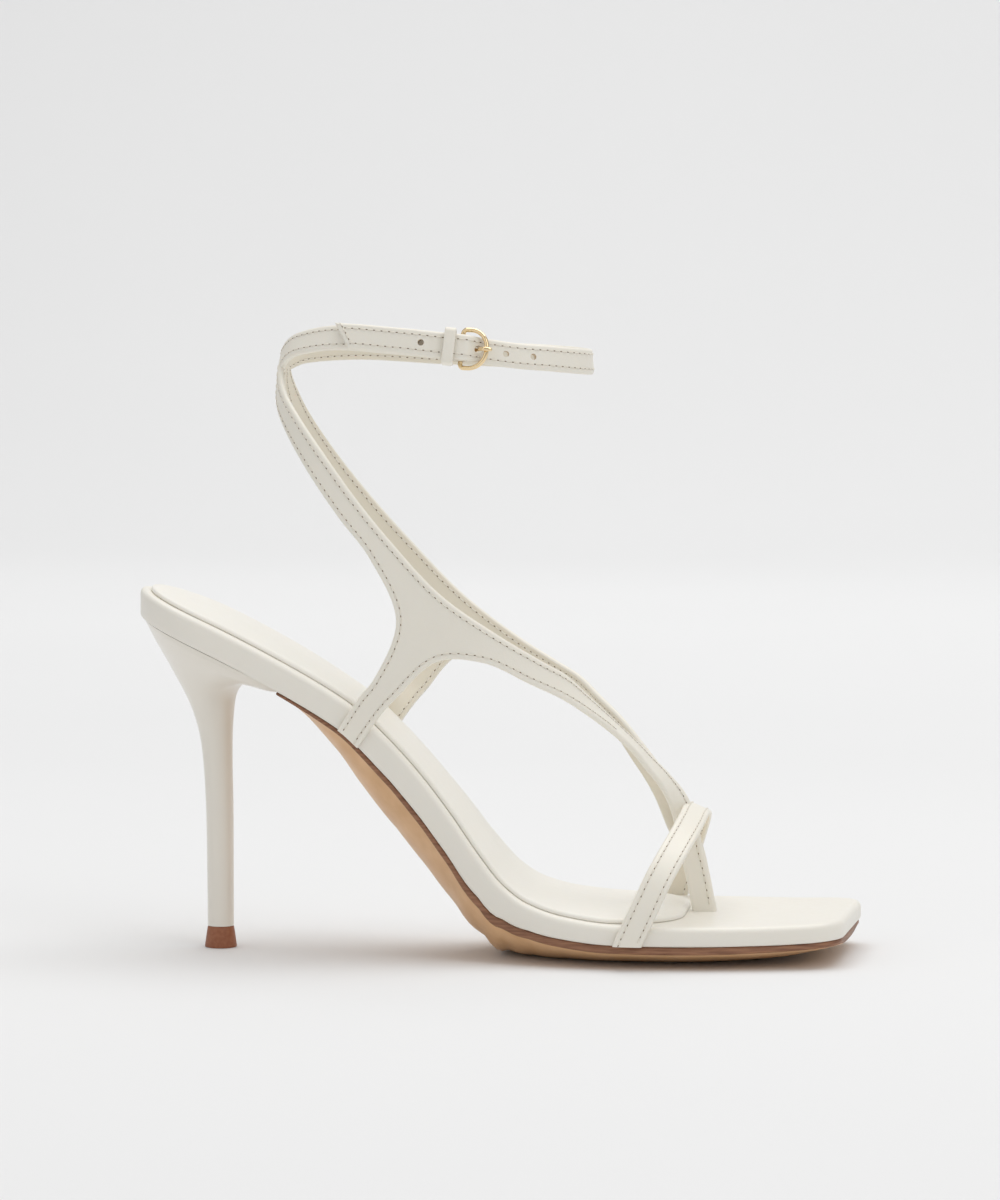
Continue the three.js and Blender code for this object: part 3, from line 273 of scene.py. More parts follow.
# Ankle loop by its turn from the back, positive on the outer side: turn, up, lean
LOOP_ROWS = [
    (-180, 0.960, 4),
    (-130, 0.975, 12),
    (-90, 0.992, 10),
    (-56, 1.012, 14),
    (-30, 1.000, 18),
    (0, 0.955, 10),
    (30, 1.035, 24),
    (56, 1.066, 18),
    (80, 1.050, 12),
    (103, 1.022, 10),
    (130, 0.986, 12),
    (180, 0.960, 4),
]
ROUND_BEFORE = [(turn - 360, up, lean) for turn, up, lean in LOOP_ROWS if 0 <= turn < 180]
ANKLE_LOOP = table("turn up lean", ROUND_BEFORE + LOOP_ROWS)


# Curves through tables and points

def hermite(t, start, start_slope, end, end_slope):
    return ((2 * t**3 - 3 * t**2 + 1) * start + (t**3 - 2 * t**2 + t) * start_slope
            + (3 * t**2 - 2 * t**3) * end + (t**3 - t**2) * end_slope)


def read(rows, key, column, at):
    """A smooth curve through a column of a table, held level beyond its ends."""
    xs, ys = rows[key], rows[column]
    last = len(xs) - 1
    if at <= xs[0]:
        return ys[0]
    if at >= xs[last]:
        return ys[last]
    i = max(j for j in range(last) if xs[j] <= at)

    def slope(j):
        if j == 0 or j == last:
            k = 1 if j == 0 else last - 1
            return (ys[k] - ys[j]) / (xs[k] - xs[j])
        before = (ys[j] - ys[j - 1]) / (xs[j] - xs[j - 1])
        after = (ys[j + 1] - ys[j]) / (xs[j + 1] - xs[j])
        return 0.0 if before * after <= 0 else 2 * before * after / (before + after)

    span = xs[i + 1] - xs[i]
    return hermite((at - xs[i]) / span, ys[i], slope(i) * span, ys[i + 1], slope(i + 1) * span)


def curve(points, at):
    """Places on a centripetal curve through points; at counts points from the first one."""
    p = np.asarray(points, float)
    p = np.vstack([2 * p[0] - p[1], p, 2 * p[-1] - p[-2]])
    out = []
    for a in np.atleast_1d(at):
        i = int(min(max(a, 0), len(p) - 4))
        t = a - i
        x0, x1, x2, x3 = p[i:i + 4]
        d = [max(norm(q - r) ** 0.5, 1e-4) for q, r in ((x1, x0), (x2, x1), (x3, x2))]
        m1 = ((x1 - x0) / d[0] - (x2 - x0) / (d[0] + d[1]) + (x2 - x1) / d[1]) * d[1]
        m2 = ((x2 - x1) / d[1] - (x3 - x1) / (d[1] + d[2]) + (x3 - x2) / d[2]) * d[1]
        out.append(hermite(t, x1, m1, x2, m2))
    return np.array(out)


def unit(v):
    v = np.asarray(v, float)
    return v / max(norm(v), 1e-12)


def x_of(along):
    return REAR_X + along * SHOE_LENGTH


def along_shoe(rows, column, x):
    return read(rows, "along", column, (x - REAR_X) / SHOE_LENGTH)


def top_at(x):
    return FOREFOOT_HEIGHT + HEEL_RISE * along_shoe(FOOTBED, "rise", x)


def square_at(x):
    return hypot(1, top_at(x + 0.5) - top_at(x - 0.5))


def bottom_at(x):
    return top_at(x) - PLATFORM_THICKNESS * along_shoe(FOOTBED, "thick", x) * square_at(x)


def half_width(side, x, inset=0.0, end=None, end_round=None):
    end = TOE_X - inset if end is None else end
    end_round = TOE_ROUND - inset if end_round is None else end_round
    half = HALF_BALL * along_shoe(OUTLINE, "outer" if side < 0 else "inner", x) - inset
    rear_round = REAR_ROUND - inset
    from_rear = max(0.0, x - REAR_X - inset)
    from_end = max(0.0, end - x)
    if from_rear < rear_round:
        half *= sqrt(max(0.0, 1 - (1 - from_rear / rear_round) ** 2))
    if from_end < end_round:
        half -= end_round * (1 - sqrt(max(0.0, 1 - (1 - from_end / end_round) ** 2)))
    return max(half, END_HALF * 0.1)


def slanted(x, y):
    t = min(max((x - TOE_X + HALF_BALL) / HALF_BALL, 0), 1)
    return x + TOE_SLANT * t * t * (3 - 2 * t) * y / HALF_BALL


def level_at(x, up):
    return top_at(x) + up * (ANKLE_LEVEL - top_at(x))


# Meshes

def linked(name, data):
    obj = bpy.data.objects.new(name, data)
    bpy.context.scene.collection.objects.link(obj)
    return obj


def make(name, points, faces, material, kinds=None, smooth=True, sharp=None):
    """An object from points in millimetres; kinds gives each face its material where there are several."""
    mesh = bpy.data.meshes.new(name)
    places = [tuple(float(c) * MM for c in p) for p in points]
    mesh.from_pydata(places, [], [tuple(map(int, f)) for f in faces])
    mesh.validate()
    materials = material if isinstance(material, list) else [material]
    for m in materials:
        mesh.materials.append(m)
    if kinds is not None and len(kinds) == len(mesh.polygons):
        mesh.polygons.foreach_set("material_index", np.array(kinds, np.int32))
    mesh.polygons.foreach_set("use_smooth", np.full(len(mesh.polygons), smooth))
    mesh.update()
    if sharp is not None:
        mesh.set_sharp_from_angle(angle=radians(sharp))
    return linked(name, mesh)


def joined(name, objects):
    """Several objects as one, keeping their materials."""
    bpy.ops.object.select_all(action="DESELECT")
    for o in objects:
        o.select_set(True)
    bpy.context.view_layer.objects.active = objects[0]
    bpy.ops.object.join()
    whole = bpy.context.view_layer.objects.active
    whole.name = name
    whole.data.name = name
    return whole


def faced_out(obj):
    """Turns every face of a closed mesh out."""
    whole = bmesh.new()
    whole.from_mesh(obj.data)
    bmesh.ops.recalc_face_normals(whole, faces=whole.faces)
    whole.to_mesh(obj.data)
    whole.free()


def cut_with(obj, cutter):
    """Takes a closed cutter out of an object; the cut faces keep the cutter's material."""
    faced_out(obj)
    faced_out(cutter)
    cut = obj.modifiers.new("cut", "BOOLEAN")
    cut.operation = "DIFFERENCE"
    cut.object = cutter
    cut.solver = "EXACT"
    cut.material_mode = "TRANSFER"
    bpy.context.view_layer.update()
    evaluated = obj.evaluated_get(bpy.context.evaluated_depsgraph_get())
    obj.data = bpy.data.meshes.new_from_object(evaluated)
    obj.modifiers.clear()
    bpy.data.objects.remove(cutter)


def grid_faces(rows, columns, start=0, closed=False, hoop=False):
    """The quads of a grid of points; closed joins its columns round, hoop its rows."""
    faces = []
    for i in range(rows if hoop else rows - 1):
        here, above = start + i * columns, start + (i + 1) % rows * columns
        for j in range(columns if closed else columns - 1):
            k = (j + 1) % columns
            faces.append((here + j, here + k, above + k, above + j))
    return faces


def lofted(name, rings, material, hoop=False, inside_out=False, **finish):
    """A closed piece through rings of points: a hoop, or with a flat cap at both ends."""
    rows, columns = len(rings), len(rings[0])
    faces = grid_faces(rows, columns, closed=True, hoop=hoop)
    if not hoop:
        faces += [tuple(reversed(range(columns))), tuple(range((rows - 1) * columns, rows * columns))]
    if inside_out:
        faces = [f[::-1] for f in faces]
    return make(name, [p for ring in rings for p in ring], faces, material, **finish)


def circle(count):
    """The cosine and sine of each step around a circle."""
    return [(cos(a), sin(a)) for a in np.linspace(0, 2 * pi, count, endpoint=False)]


def corner_path(corners, steps):
    """A path through quarter rounds, each (x, y, radius, first angle in degrees)."""
    return [(x + radius * cos(a), y + radius * sin(a)) for x, y, radius, first in corners
            for a in np.radians([first + 90 * i / steps for i in range(steps + 1)])]


def stations(start, end, rear_round, front_round, steps=96):
    """Places along the shoe, closer together at the round ends."""
    quarter = [1 - cos(pi * i / (2 * ROUND_STATIONS)) for i in range(ROUND_STATIONS)]
    rear = [start + rear_round * q for q in quarter] if rear_round else [start]
    body = np.linspace(start + rear_round, end - front_round, steps).tolist()
    return rear + body + [end - front_round * q for q in reversed(quarter)]


def level(x, u):
    return 0.0


def slab(name, inset, start, end, front_round, layers, material, top=level, bottom=level,
         kind=lambda layer: 0, flat_rear=False):
    """A slab of closed outlines. layers: (inset, place) from below; top and bottom shape its faces."""
    across = 24
    points, faces, kinds, loops = [], [], [], []
    for number, (extra, place) in enumerate(layers):
        total = inset + extra
        first, last = start + extra, end - extra
        front = max(front_round - extra, 0.3)
        rear = 0 if flat_rear else REAR_ROUND - total
        xs = stations(first, last, rear, front)
        surface = bottom if number == 0 else top if number == len(layers) - 1 else level
        loop = []

        def add(x, y, rise=0.0):
            points.append((slanted(x, y), y, place(x) + rise))
            loop.append(len(points) - 1)

        def row(x, sign):
            low, high = (half_width(side, x, total, last, front) for side in (-1, 1))
            for c in range(1, across):
                u = sign * (-1 + 2 * c / across)
                add(x, u * (low if u < 0 else high), surface(x, u))

        for x in xs:
            add(x, -half_width(-1, x, total, last, front))
        row(xs[-1], 1)
        for x in reversed(xs):
            add(x, half_width(1, x, total, last, front))
        if flat_rear:
            row(xs[0], -1)
        loops.append(loop)
        count = len(xs)
    n = len(loops[0])
    for i in range(len(loops) - 1):
        for j in range(n):
            k = (j + 1) % n
            faces.append((loops[i][j], loops[i][k], loops[i + 1][k], loops[i + 1][j]))
            kinds.append(kind(i + 0.5))
    for loop, surface, up in ((loops[0], bottom, False), (loops[-1], top, True)):
        columns = []
        for j in range(count):
            a, b = loop[j], loop[2 * count + across - 2 - j]
            if j == count - 1:
                inner = loop[count:count + across - 1]
            elif j == 0 and flat_rear:
                inner = loop[2 * count + across - 1:][::-1]
            else:
                inner = range(len(points), len(points) + across - 1)
                (_, ya, z), yb, x = points[a], points[b][1], station_of(points[a])
                for c in range(1, across):
                    u = -1 + 2 * c / across
                    y = -u * ya if u < 0 else u * yb
                    points.append((slanted(x, y), y, z + surface(x, u)))
            columns.append([a, *inner, b])
        for j in range(count - 1):
            for c in range(across):
                quad = (columns[j][c], columns[j + 1][c], columns[j + 1][c + 1], columns[j][c + 1])
                faces.append(quad if up else quad[::-1])
                kinds.append(kind(len(loops) if up else -1))
    return make(name, points, faces, material, kinds)


def station_of(point):
    """The station of a point before the toe's slant moved it."""
    x = point[0]
    for _ in range(4):
        x -= slanted(x, point[1]) - point[0]
    return x


# Materials, all procedural

def shader(name, color, roughness, metallic=0.0, coat=0.0, subsurface=0.0):
    mat = bpy.data.materials.new(name)
    mat.use_nodes = True
    node = mat.node_tree.nodes["Principled BSDF"]
    for socket, value in (("Base Color", (*color, 1)), ("Roughness", roughness), ("Metallic", metallic),
                          ("Coat Weight", coat), ("Coat Roughness", 0.25), ("Subsurface Weight", subsurface),
                          ("Subsurface Radius", (0.9, 0.7, 0.5)), ("Subsurface Scale", 0.0008)):
        node.inputs[socket].default_value = value
    return mat, node


def texture_of(mat, kind, scale, stretch=(1, 1, 1)):
    """A texture in the piece's own space."""
    tree = mat.node_tree
    place, mapping, texture = (tree.nodes.new("ShaderNode" + n) for n in ("TexCoord", "Mapping", kind))
    mapping.inputs["Scale"].default_value = stretch
    texture.inputs["Scale"].default_value = scale
    tree.links.new(place.outputs["Object"], mapping.inputs["Vector"])
    tree.links.new(mapping.outputs["Vector"], texture.inputs["Vector"])
    return texture


def noise(mat, scale, detail, stretch=(1, 1, 1)):
    texture = texture_of(mat, "TexNoise", scale, stretch)
    texture.inputs["Detail"].default_value = detail
    return texture


def bumped(mat, node, textures):
    """Bumps from textures of (texture output, strength, distance), one over the other."""
    tree = mat.node_tree
    before = None
    for output, strength, distance in textures:
        bump = tree.nodes.new("ShaderNodeBump")
        bump.inputs["Strength"].default_value = strength
        bump.inputs["Distance"].default_value = distance
        tree.links.new(output, bump.inputs["Height"])
        if before:
            tree.links.new(before.outputs["Normal"], bump.inputs["Normal"])
        before = bump
    tree.links.new(before.outputs["Normal"], node.inputs["Normal"])


def varied(mat, node, socket, texture, low, high):
    """A socket that follows a texture between two values or colors."""
    tree = mat.node_tree
    ramp = tree.nodes.new("ShaderNodeValToRGB")
    for element, position, value in zip(ramp.color_ramp.elements, (0.35, 0.65), (low, high)):
        element.position = position
        element.color = (*np.broadcast_to(value, 3), 1)
    tree.links.new(texture.outputs["Fac"], ramp.inputs["Fac"])
    tree.links.new(ramp.outputs["Color"], node.inputs[socket])


def leather(name, color, roughness, grain=0.25, wrinkles=0.0):
    mat, node = shader(name, color, roughness, coat=0.08, subsurface=0.06)
    fine = texture_of(mat, "TexVoronoi", 2600)
    soft = noise(mat, 420, 4)
    layers = [(soft.outputs["Fac"], 0.10, 0.0005), (fine.outputs["Distance"], grain, 0.00006)]
    if wrinkles:
        folds = noise(mat, 60, 2, (0.35, 2.2, 0.35))
        layers.insert(0, (folds.outputs["Fac"], wrinkles, 0.004))
    bumped(mat, node, layers)
    varied(mat, node, "Roughness", soft, roughness - 0.05, roughness + 0.05)
    return mat


def grained(name, color, roughness, bump=None, shades=None, socket="Base Color", stretch=(1, 1, 1), **finish):
    """A noisy material. bump: scale, detail, strength, depth. shades: scale, detail, low, high."""
    mat, node = shader(name, color, roughness, **finish)
    if shades:
        varied(mat, node, socket, noise(mat, *shades[:2], stretch), *shades[2:])
    if bump:
        bumped(mat, node, [(noise(mat, *bump[:2], stretch).outputs["Fac"], *bump[2:])])
    return mat


STRAP_MAT = leather("ivory_leather", (0.850, 0.812, 0.722), 0.42)
LINING_MAT = leather("cream_lining", (0.800, 0.742, 0.620), 0.55)
PLATFORM_MAT = leather("platform_leather", (0.845, 0.812, 0.735), 0.40)
SOCK_MAT = leather("sock_leather", (0.865, 0.838, 0.770), 0.48, wrinkles=0.10)
HEEL_MAT = grained("heel_cover", (0.820, 0.780, 0.700), 0.28, (300, 2, 0.05, 0.0004), coat=0.25)
SOLE_MAT = grained("tan_sole", (0.700, 0.430, 0.220), 0.42, (900, 5, 0.15, 0.0002),
                   (120, 4, (0.660, 0.395, 0.195), (0.740, 0.465, 0.250)), coat=0.12)
EDGE_MAT = grained("brown_sole_edge", (0.250, 0.110, 0.055), 0.5, (500, 4, 0.25, 0.0003),
                   (500, 4, (0.200, 0.085, 0.042), (0.335, 0.160, 0.085)), stretch=(0.25, 0.25, 3.0))
TIP_MAT = grained("brown_rubber", (0.300, 0.105, 0.045), 0.5, (900, 3, 0.15, 0.0002),
                  (900, 3, (0.280, 0.095, 0.041), (0.330, 0.122, 0.056)))
GOLD_MAT = grained("polished_gold", (0.880, 0.690, 0.420), 0.10, (700, 3, 0.02, 0.0001),
                   (700, 3, 0.09, 0.16), "Roughness", metallic=1.0)
THREAD_MAT = grained("thread", (0.800, 0.755, 0.660), 0.7, (6000, 2, 0.4, 0.0001))
# Painted shade: the dark pinhole colour stands for the shade inside the needle holes
NEEDLE_SHADE_MAT = grained("needle_hole_shade", (0.300, 0.235, 0.165), 0.9,
                   shades=(2000, 2, (0.180, 0.130, 0.082), (0.270, 0.200, 0.135)))
CORE_MAT = grained("cut_leather", (0.740, 0.630, 0.480), 0.75, (3000, 3, 0.3, 0.0001))


def dress(obj, *nodes, slot_name):
    """Hands a piece over: it rides the shoe and stands for its solids; slot_name is not used."""
    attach(obj, "root")
    if nodes:
        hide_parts(*nodes)
    return obj


# Platform, sock and outsole

def rounded(radius, steps=6):
    """Insets and drops along a quarter round, from the wall to the face."""
    return [(radius * (1 - cos(a)), radius * (1 - sin(a)))
            for a in np.linspace(0, pi / 2, steps + 1)]


platform_layers = [(0.55, bottom_at), (0.16, lambda x: bottom_at(x) + 0.16 * square_at(x)),
                   (0.0, lambda x: bottom_at(x) + 0.6 * square_at(x))]
platform_layers += [(i, lambda x, d=d: top_at(x) - d * square_at(x)) for i, d in rounded(EDGE_ROUND)]
platform = slab("platform_cover", 0.0, REAR_X, TOE_X, TOE_ROUND, platform_layers, PLATFORM_MAT)
dress(platform, "platform", slot_name="platform")

sock_end = x_of(THONG[-1][0]) - THONG_WIDTH / 2 - SOCK_THONG_GAP


def sock_crown(x, u):
    start = REAR_X + SOCK_INSET
    rise = min(1.0, max(0.0, (x - start) / REAR_ROUND)) * min(1.0, max(0.0, (sock_end - x) / SOCK_FADE))
    return SOCK_PADDING * (1 - u * u) * rise * (2 - rise)


sock_layers = [(0.25, lambda x: top_at(x) + 0.05), (0.0, lambda x: top_at(x) + 0.35 * square_at(x))]
sock_layers += [(i, lambda x, d=d: top_at(x) + (CLEARANCE + SOCK_THICKNESS - d) * square_at(x))
                for i, d in rounded(SOCK_ROUND)]
sock = slab("sock", SOCK_INSET, REAR_X + SOCK_INSET, sock_end, SOCK_END_ROUND, sock_layers, SOCK_MAT,
            top=sock_crown)
dress(sock, "insole", slot_name="insole")


def sole_edge(x, share=1.0):
    """Height of the outsole's edge, from its top (share 0) to its bottom (share 1)."""
    edge = OUTSOLE_EDGE * along_shoe(FOOTBED, "edge", x)
    return bottom_at(x) - (CLEARANCE * min(1.0, 0.4 + share) + edge * share) * square_at(x)


def sole_belly(x, u):
    bulge = SOLE_BULGE * along_shoe(FOOTBED, "bulge", x) * square_at(x)
    edge = sole_edge(x)
    return max(0.0, edge - bulge * (1 - abs(u) ** BULGE_POWER)) - edge


outsole_layers = [(inset, lambda x, share=share: sole_edge(x, share))
                  for inset, share in ((0.35, 1.0), (0.08, 0.88), (0.0, 0.65), (0.10, 0.15), (0.5, 0.0))]
outsole = slab("outsole", OUTSOLE_INSET, BREAST_X, TOE_X - OUTSOLE_INSET, TOE_ROUND - OUTSOLE_INSET,
               outsole_layers, [SOLE_MAT, EDGE_MAT], bottom=sole_belly, kind=lambda i: 0 if i < 0 else 1,
               flat_rear=True)
dress(outsole, "outsole", slot_name="outsole")


# Heel and tip

def seat_at(x):
    return bottom_at(x) - CLEARANCE * square_at(x)


def heel_ring(back, front, back_z, front_z, half, square, count=56):
    middle, reach = (back + front) / 2, (front - back) / 2
    ring = []
    for c, s in circle(count):
        power = 2 + 4 * square * max(0.0, c)
        scale = (abs(c) ** power + abs(s) ** power) ** (-1 / power)
        x = middle + reach * c * scale
        ring.append((x, half * s * scale, back_z + (front_z - back_z) * (x - back) / (front - back)))
    return ring


def heel_rings():
    drop = seat_at(0) - TIP_HEIGHT
    rows = []
    for back, front, back_drop, front_drop, half, square in HEEL_RINGS:
        back, front = -back * HEEL_OVERHANG, front * HEEL_OVERHANG
        rows.append((back, front, seat_at(back) - back_drop * drop, seat_at(front) - front_drop * drop,
                     half * SEAT_WIDTH / 2, square))
    stem = HEEL_STEM / 2
    stem_top = seat_at(0) - HEEL_RINGS[-1][2] * drop
    for up, wide in ((0.75, 1.10), (0.35, 1.03), (0.0, 1.0)):
        z = TIP_HEIGHT + (stem_top - TIP_HEIGHT) * up
        rows.append((-stem * wide, stem, z, z, stem * wide, 0))
    fine = curve(rows, np.linspace(0, len(rows) - 1, 8 * (len(rows) - 1) + 1))
    rings = [heel_ring(*row[:5], max(0.0, row[5])) for row in fine]
    rings[0] = [(x, y, seat_at(x)) for x, y, z in rings[0]]
    return rings


heel = lofted("heel_cover", heel_rings(), HEEL_MAT, inside_out=True, sharp=50)
dress(heel, "heel", slot_name="heel")

stem, low = HEEL_STEM / 2, HEEL_STEM / 2 + TIP_FLARE
profile = [(low - 0.5, 0.0), (low - 0.12, 0.1), (low, 0.45), (stem + 0.25, TIP_HEIGHT - 1.6),
           (stem, TIP_HEIGHT - 0.25), (stem - 0.25, TIP_HEIGHT)]
tip = lofted("tip", [heel_ring(-r, r, z, z, r, 0) for r, z in profile], TIP_MAT, sharp=50)
dress(tip, "heel_tip", slot_name="heel_tip")


# Leather strips with rounded edges

def strip_columns(width):
    """Shares across a strip: dense at both edges, where its round and its stitches lie."""
    near = [0.0] + [(STITCH_INSET + beside) / width for beside in (-0.35, 0, 0.35)]
    middle = [near[-1] + (1 - 2 * near[-1]) * k / 4 for k in (1, 2, 3)]
    return near + middle + [1 - c for c in reversed(near)]


def strip_sheet(name, points, faces, thickness, materials):
    """A closed strip from its middle surface, with round edges. Returns it and its first rim."""
    p = np.array(points)
    normals = np.zeros_like(p)
    half_edges = {}
    for f in faces:
        for i in range(1, len(f) - 1):
            normal = np.cross(p[f[i]] - p[f[0]], p[f[i + 1]] - p[f[0]])
            for k in (f[0], f[i], f[i + 1]):
                normals[k] += normal
        for a, b in zip(f, f[1:] + f[:1]):
            half_edges[(a, b)] = True
    normals /= np.maximum(norm(normals, axis=1), 1e-9)[:, None]
    after = {a: b for a, b in half_edges if (b, a) not in half_edges}
    rims = []
    left = set(after)
    while left:
        rim = []
        here = min(left)
        while here in left:
            left.discard(here)
            rim.append(here)
            here = after[here]
        rims.append(rim)
    outward = {}
    for rim in rims:
        for i, v in enumerate(rim):
            t = unit(unit(p[rim[(i + 1) % len(rim)]] - p[v]) + unit(p[v] - p[rim[i - 1]]))
            outward[v] = unit(np.cross(t, normals[v]))
    half = thickness / 2
    out_points, out_faces, kinds = [], [], []
    for sign in (1, -1):
        for i, q in enumerate(p):
            base = q - outward[i] * half if i in outward else q
            out_points.append(base + sign * half * normals[i])
    n = len(p)
    for f in faces:
        out_faces += [tuple(f), tuple(v + n for v in reversed(f))]
        kinds += [0, 1]
    steps = STRIP_ROUND_STEPS
    for rim in rims:
        rows = []
        for v in rim:
            row = [v]
            for k in range(1, steps):
                a = pi / 2 - pi * k / steps
                out_points.append(p[v] + half * (outward[v] * (cos(a) - 1) + normals[v] * sin(a)))
                row.append(len(out_points) - 1)
            rows.append(row + [v + n])
        for i in range(len(rim)):
            one, two = rows[i], rows[(i + 1) % len(rim)]
            for k in range(steps):
                out_faces.append((one[k], one[k + 1], two[k + 1], two[k]))
                kinds.append(0 if k < steps - 1 else 1)
    obj = make(name, out_points, out_faces, materials, kinds)
    rim = rims[0]
    return obj, (p[rim], normals[rim], np.array([outward[v] for v in rim]))


def weld(patches):
    """Grids of points that share borders, and single faces, as one mesh."""
    keys, points, faces = {}, [], []

    def index(q):
        key = tuple(np.round(q, 3))
        if key not in keys:
            keys[key] = len(points)
            points.append(np.array(q, float))
        return keys[key]

    for polygons in patches:
        for polygon in polygons:
            ids = list(dict.fromkeys(index(q) for q in polygon))
            if len(ids) > 2:
                faces.append(ids)
    return points, faces


def facing(polygons, sample, way):
    """Polygons turned so that the sample one faces the given way."""
    a, b, c = (np.array(q) for q in polygons[sample][:3])
    return polygons if np.dot(np.cross(b - a, c - a), way) > 0 else [q[::-1] for q in polygons]


def grid_polygons(grid, way):
    """The quads of a grid, all facing the given way at its first row."""
    polygons = [[grid[i][j], grid[i + 1][j], grid[i + 1][j + 1], grid[i][j + 1]]
                for i in range(len(grid) - 1) for j in range(len(grid[0]) - 1)]
    return facing(polygons, len(grid[0]) // 2 - 1, way)


def strap_place(side, row):
    along, out, up, turn, lean, _ = row
    x = x_of(along)
    z = level_at(x, up)
    if out is None:
        slope = (half_width(side, x + 1) - half_width(side, x - 1)) / 2
        gap = (CLEARANCE + STRAP_THICKNESS / 2) * hypot(1, slope)
        return np.array([x, side * (half_width(side, x) + gap), z]), unit([-slope, side, 0])
    t, l = radians(turn), radians(lean)
    face = np.array([-sin(t) * cos(l), side * cos(t) * cos(l), sin(l)])
    return np.array([x, side * out * HALF_BALL, z]), face


def run_at(rows, i):
    """The direction of a strip at one of its rows, whose first value is its place."""
    return unit(rows[min(i + 1, len(rows) - 1)][0] - rows[max(0, i - 1)][0])


def strip_edges(rows, i):
    """Both edges of a strip at one of its rows of (middle, face, width[, skew])."""
    middle, face, width = rows[i][:3]
    run = run_at(rows, i)
    across = unit(np.cross(run, face)) * width / 2
    slant = run * rows[i][3] / 2 if len(rows[i]) > 3 else 0.0
    return middle + across + slant, middle - across - slant


def edges_of(side, rows, origin):
    """Both edges of an arm that starts at the fork's middle."""
    strip = [(origin,)] + [(*strap_place(side, row), STRAP_WIDTH * row[5]) for row in rows]
    return [strip_edges(strip, i) for i in range(1, len(strip))]


def arm_rows(tables, key):
    """Rows of one arm; the front arm runs on as a layer of the thong, down into its slot."""
    if key != "front":
        return tables[key]
    end = THONG[-1][0]
    down = THONG + [(end, -THONG_DEPTH / (ANKLE_LEVEL - top_at(x_of(end))))]
    return tables[key] + [(along, THONG_SPREAD / 2 / HALF_BALL, up, 0, 0, THONG_WIDTH / STRAP_WIDTH)
                          for along, up in down]


def forked_strap(name, side, tables):
    middle, _ = strap_place(side, tables["fork"])
    arms = [edges_of(side, arm_rows(tables, key), middle) for key in ("arm", "front", "foot")]

    def nearest(arm, other):
        return min((1, 0), key=lambda s: min(norm(arm[0][s] - q) for q in other[0]))

    chains, corners = [], []
    for i, arm in enumerate(arms):
        other = arms[(i + 1) % 3]
        near, far = nearest(arm, other), nearest(other, arm)
        between = (arm[0][near] + other[0][far]) / 2 - middle
        corner = middle + unit(between) * FORK_WEB * WEBS[i]
        chains.append(([e[near] for e in reversed(arm)] + [corner] + [e[far] for e in other], len(arm)))
        corners.append(corner)
    corner_width = sum(norm(corners[i] - corners[i - 1]) for i in range(3)) / 3
    shares = strip_columns(corner_width * CORNER_SHARE)
    steps = 9
    out = np.array([0.0, side, 0.0])
    patches = []
    for i, arm in enumerate(arms):
        after_points, here = chains[i]
        before_points, there = chains[(i + 2) % 3]
        rows = len(arm) * steps
        at = np.arange(rows + 1) / steps
        one = curve(after_points, here - at)
        two = curve(before_points, there + at)
        grid = []
        for k in range(rows + 1):
            width = norm(one[k] - two[k])
            blend = min(1.0, k / steps)
            columns = np.array(strip_columns(width)) * blend + np.array(shares) * (1 - blend)
            grid.append([one[k] + (two[k] - one[k]) * c for c in columns])
        patches.append(grid_polygons(grid, out))
    n = len(shares) - 1

    def inner(i, j, k):
        w = np.array([shares[i], shares[j], shares[k]])
        return (w[:, None] * np.array(corners)).sum(0) / w.sum()

    centre = []
    for i in range(n):
        for j in range(n - i):
            k = n - i - j
            a, b, c = inner(i, j, k), inner(i + 1, j, k - 1), inner(i, j + 1, k - 1)
            centre.append([a, b, c])
            if k > 1:
                centre.append([b, inner(i + 1, j + 1, k - 2), c])
    patches.append(facing(centre, 0, out))
    points, faces = weld(patches)
    points = relaxed(points, faces, middle, RELAX_REACH)
    return strip_sheet(name, points, faces, STRAP_THICKNESS, [STRAP_MAT, LINING_MAT])


def relaxed(points, faces, centre, reach):
    """Evens the middle surface around a fork, away from its rims."""
    p = np.array(points)
    near = {i: set() for i in range(len(p))}
    used = {}
    for f in faces:
        for a, b in zip(f, f[1:] + f[:1]):
            near[a].add(b)
            near[b].add(a)
            used[frozenset((a, b))] = used.get(frozenset((a, b)), 0) + 1
    rim = {i for pair, times in used.items() if times == 1 for i in pair}
    kept = set(rim)
    for _ in range(3):
        kept |= {j for i in kept for j in near[i]}
    free = [i for i in range(len(p)) if i not in kept and norm(p[i] - centre) < reach]
    for _ in range(60):
        q = p.copy()
        for i in free:
            q[i] = sum(p[j] for j in near[i]) / len(near[i])
        p = q
    return list(p)


def ribbon(name, rows, steps):
    """A strap through rows of (middle, face, width[, skew])."""
    left, right = zip(*(strip_edges(rows, i) for i in range(len(rows))))
    at = np.linspace(0, len(rows) - 1, (len(rows) - 1) * steps + 1)
    grid = []
    for a, b in zip(curve(left, at), curve(right, at)):
        grid.append([a + (b - a) * c for c in strip_columns(norm(b - a))])
    points, faces = weld([grid_polygons(grid, rows[0][1])])
    return strip_sheet(name, points, faces, STRAP_THICKNESS, [STRAP_MAT, LINING_MAT])


# Stitches: threads, and dark discs of painted shade for the needle holes between them

thread = {"points": [], "faces": []}
hole_shade_discs = {"points": [], "faces": []}


def along_line(points):
    steps = norm(np.diff(points, axis=0), axis=1)
    return np.concatenate([[0], np.cumsum(steps)])


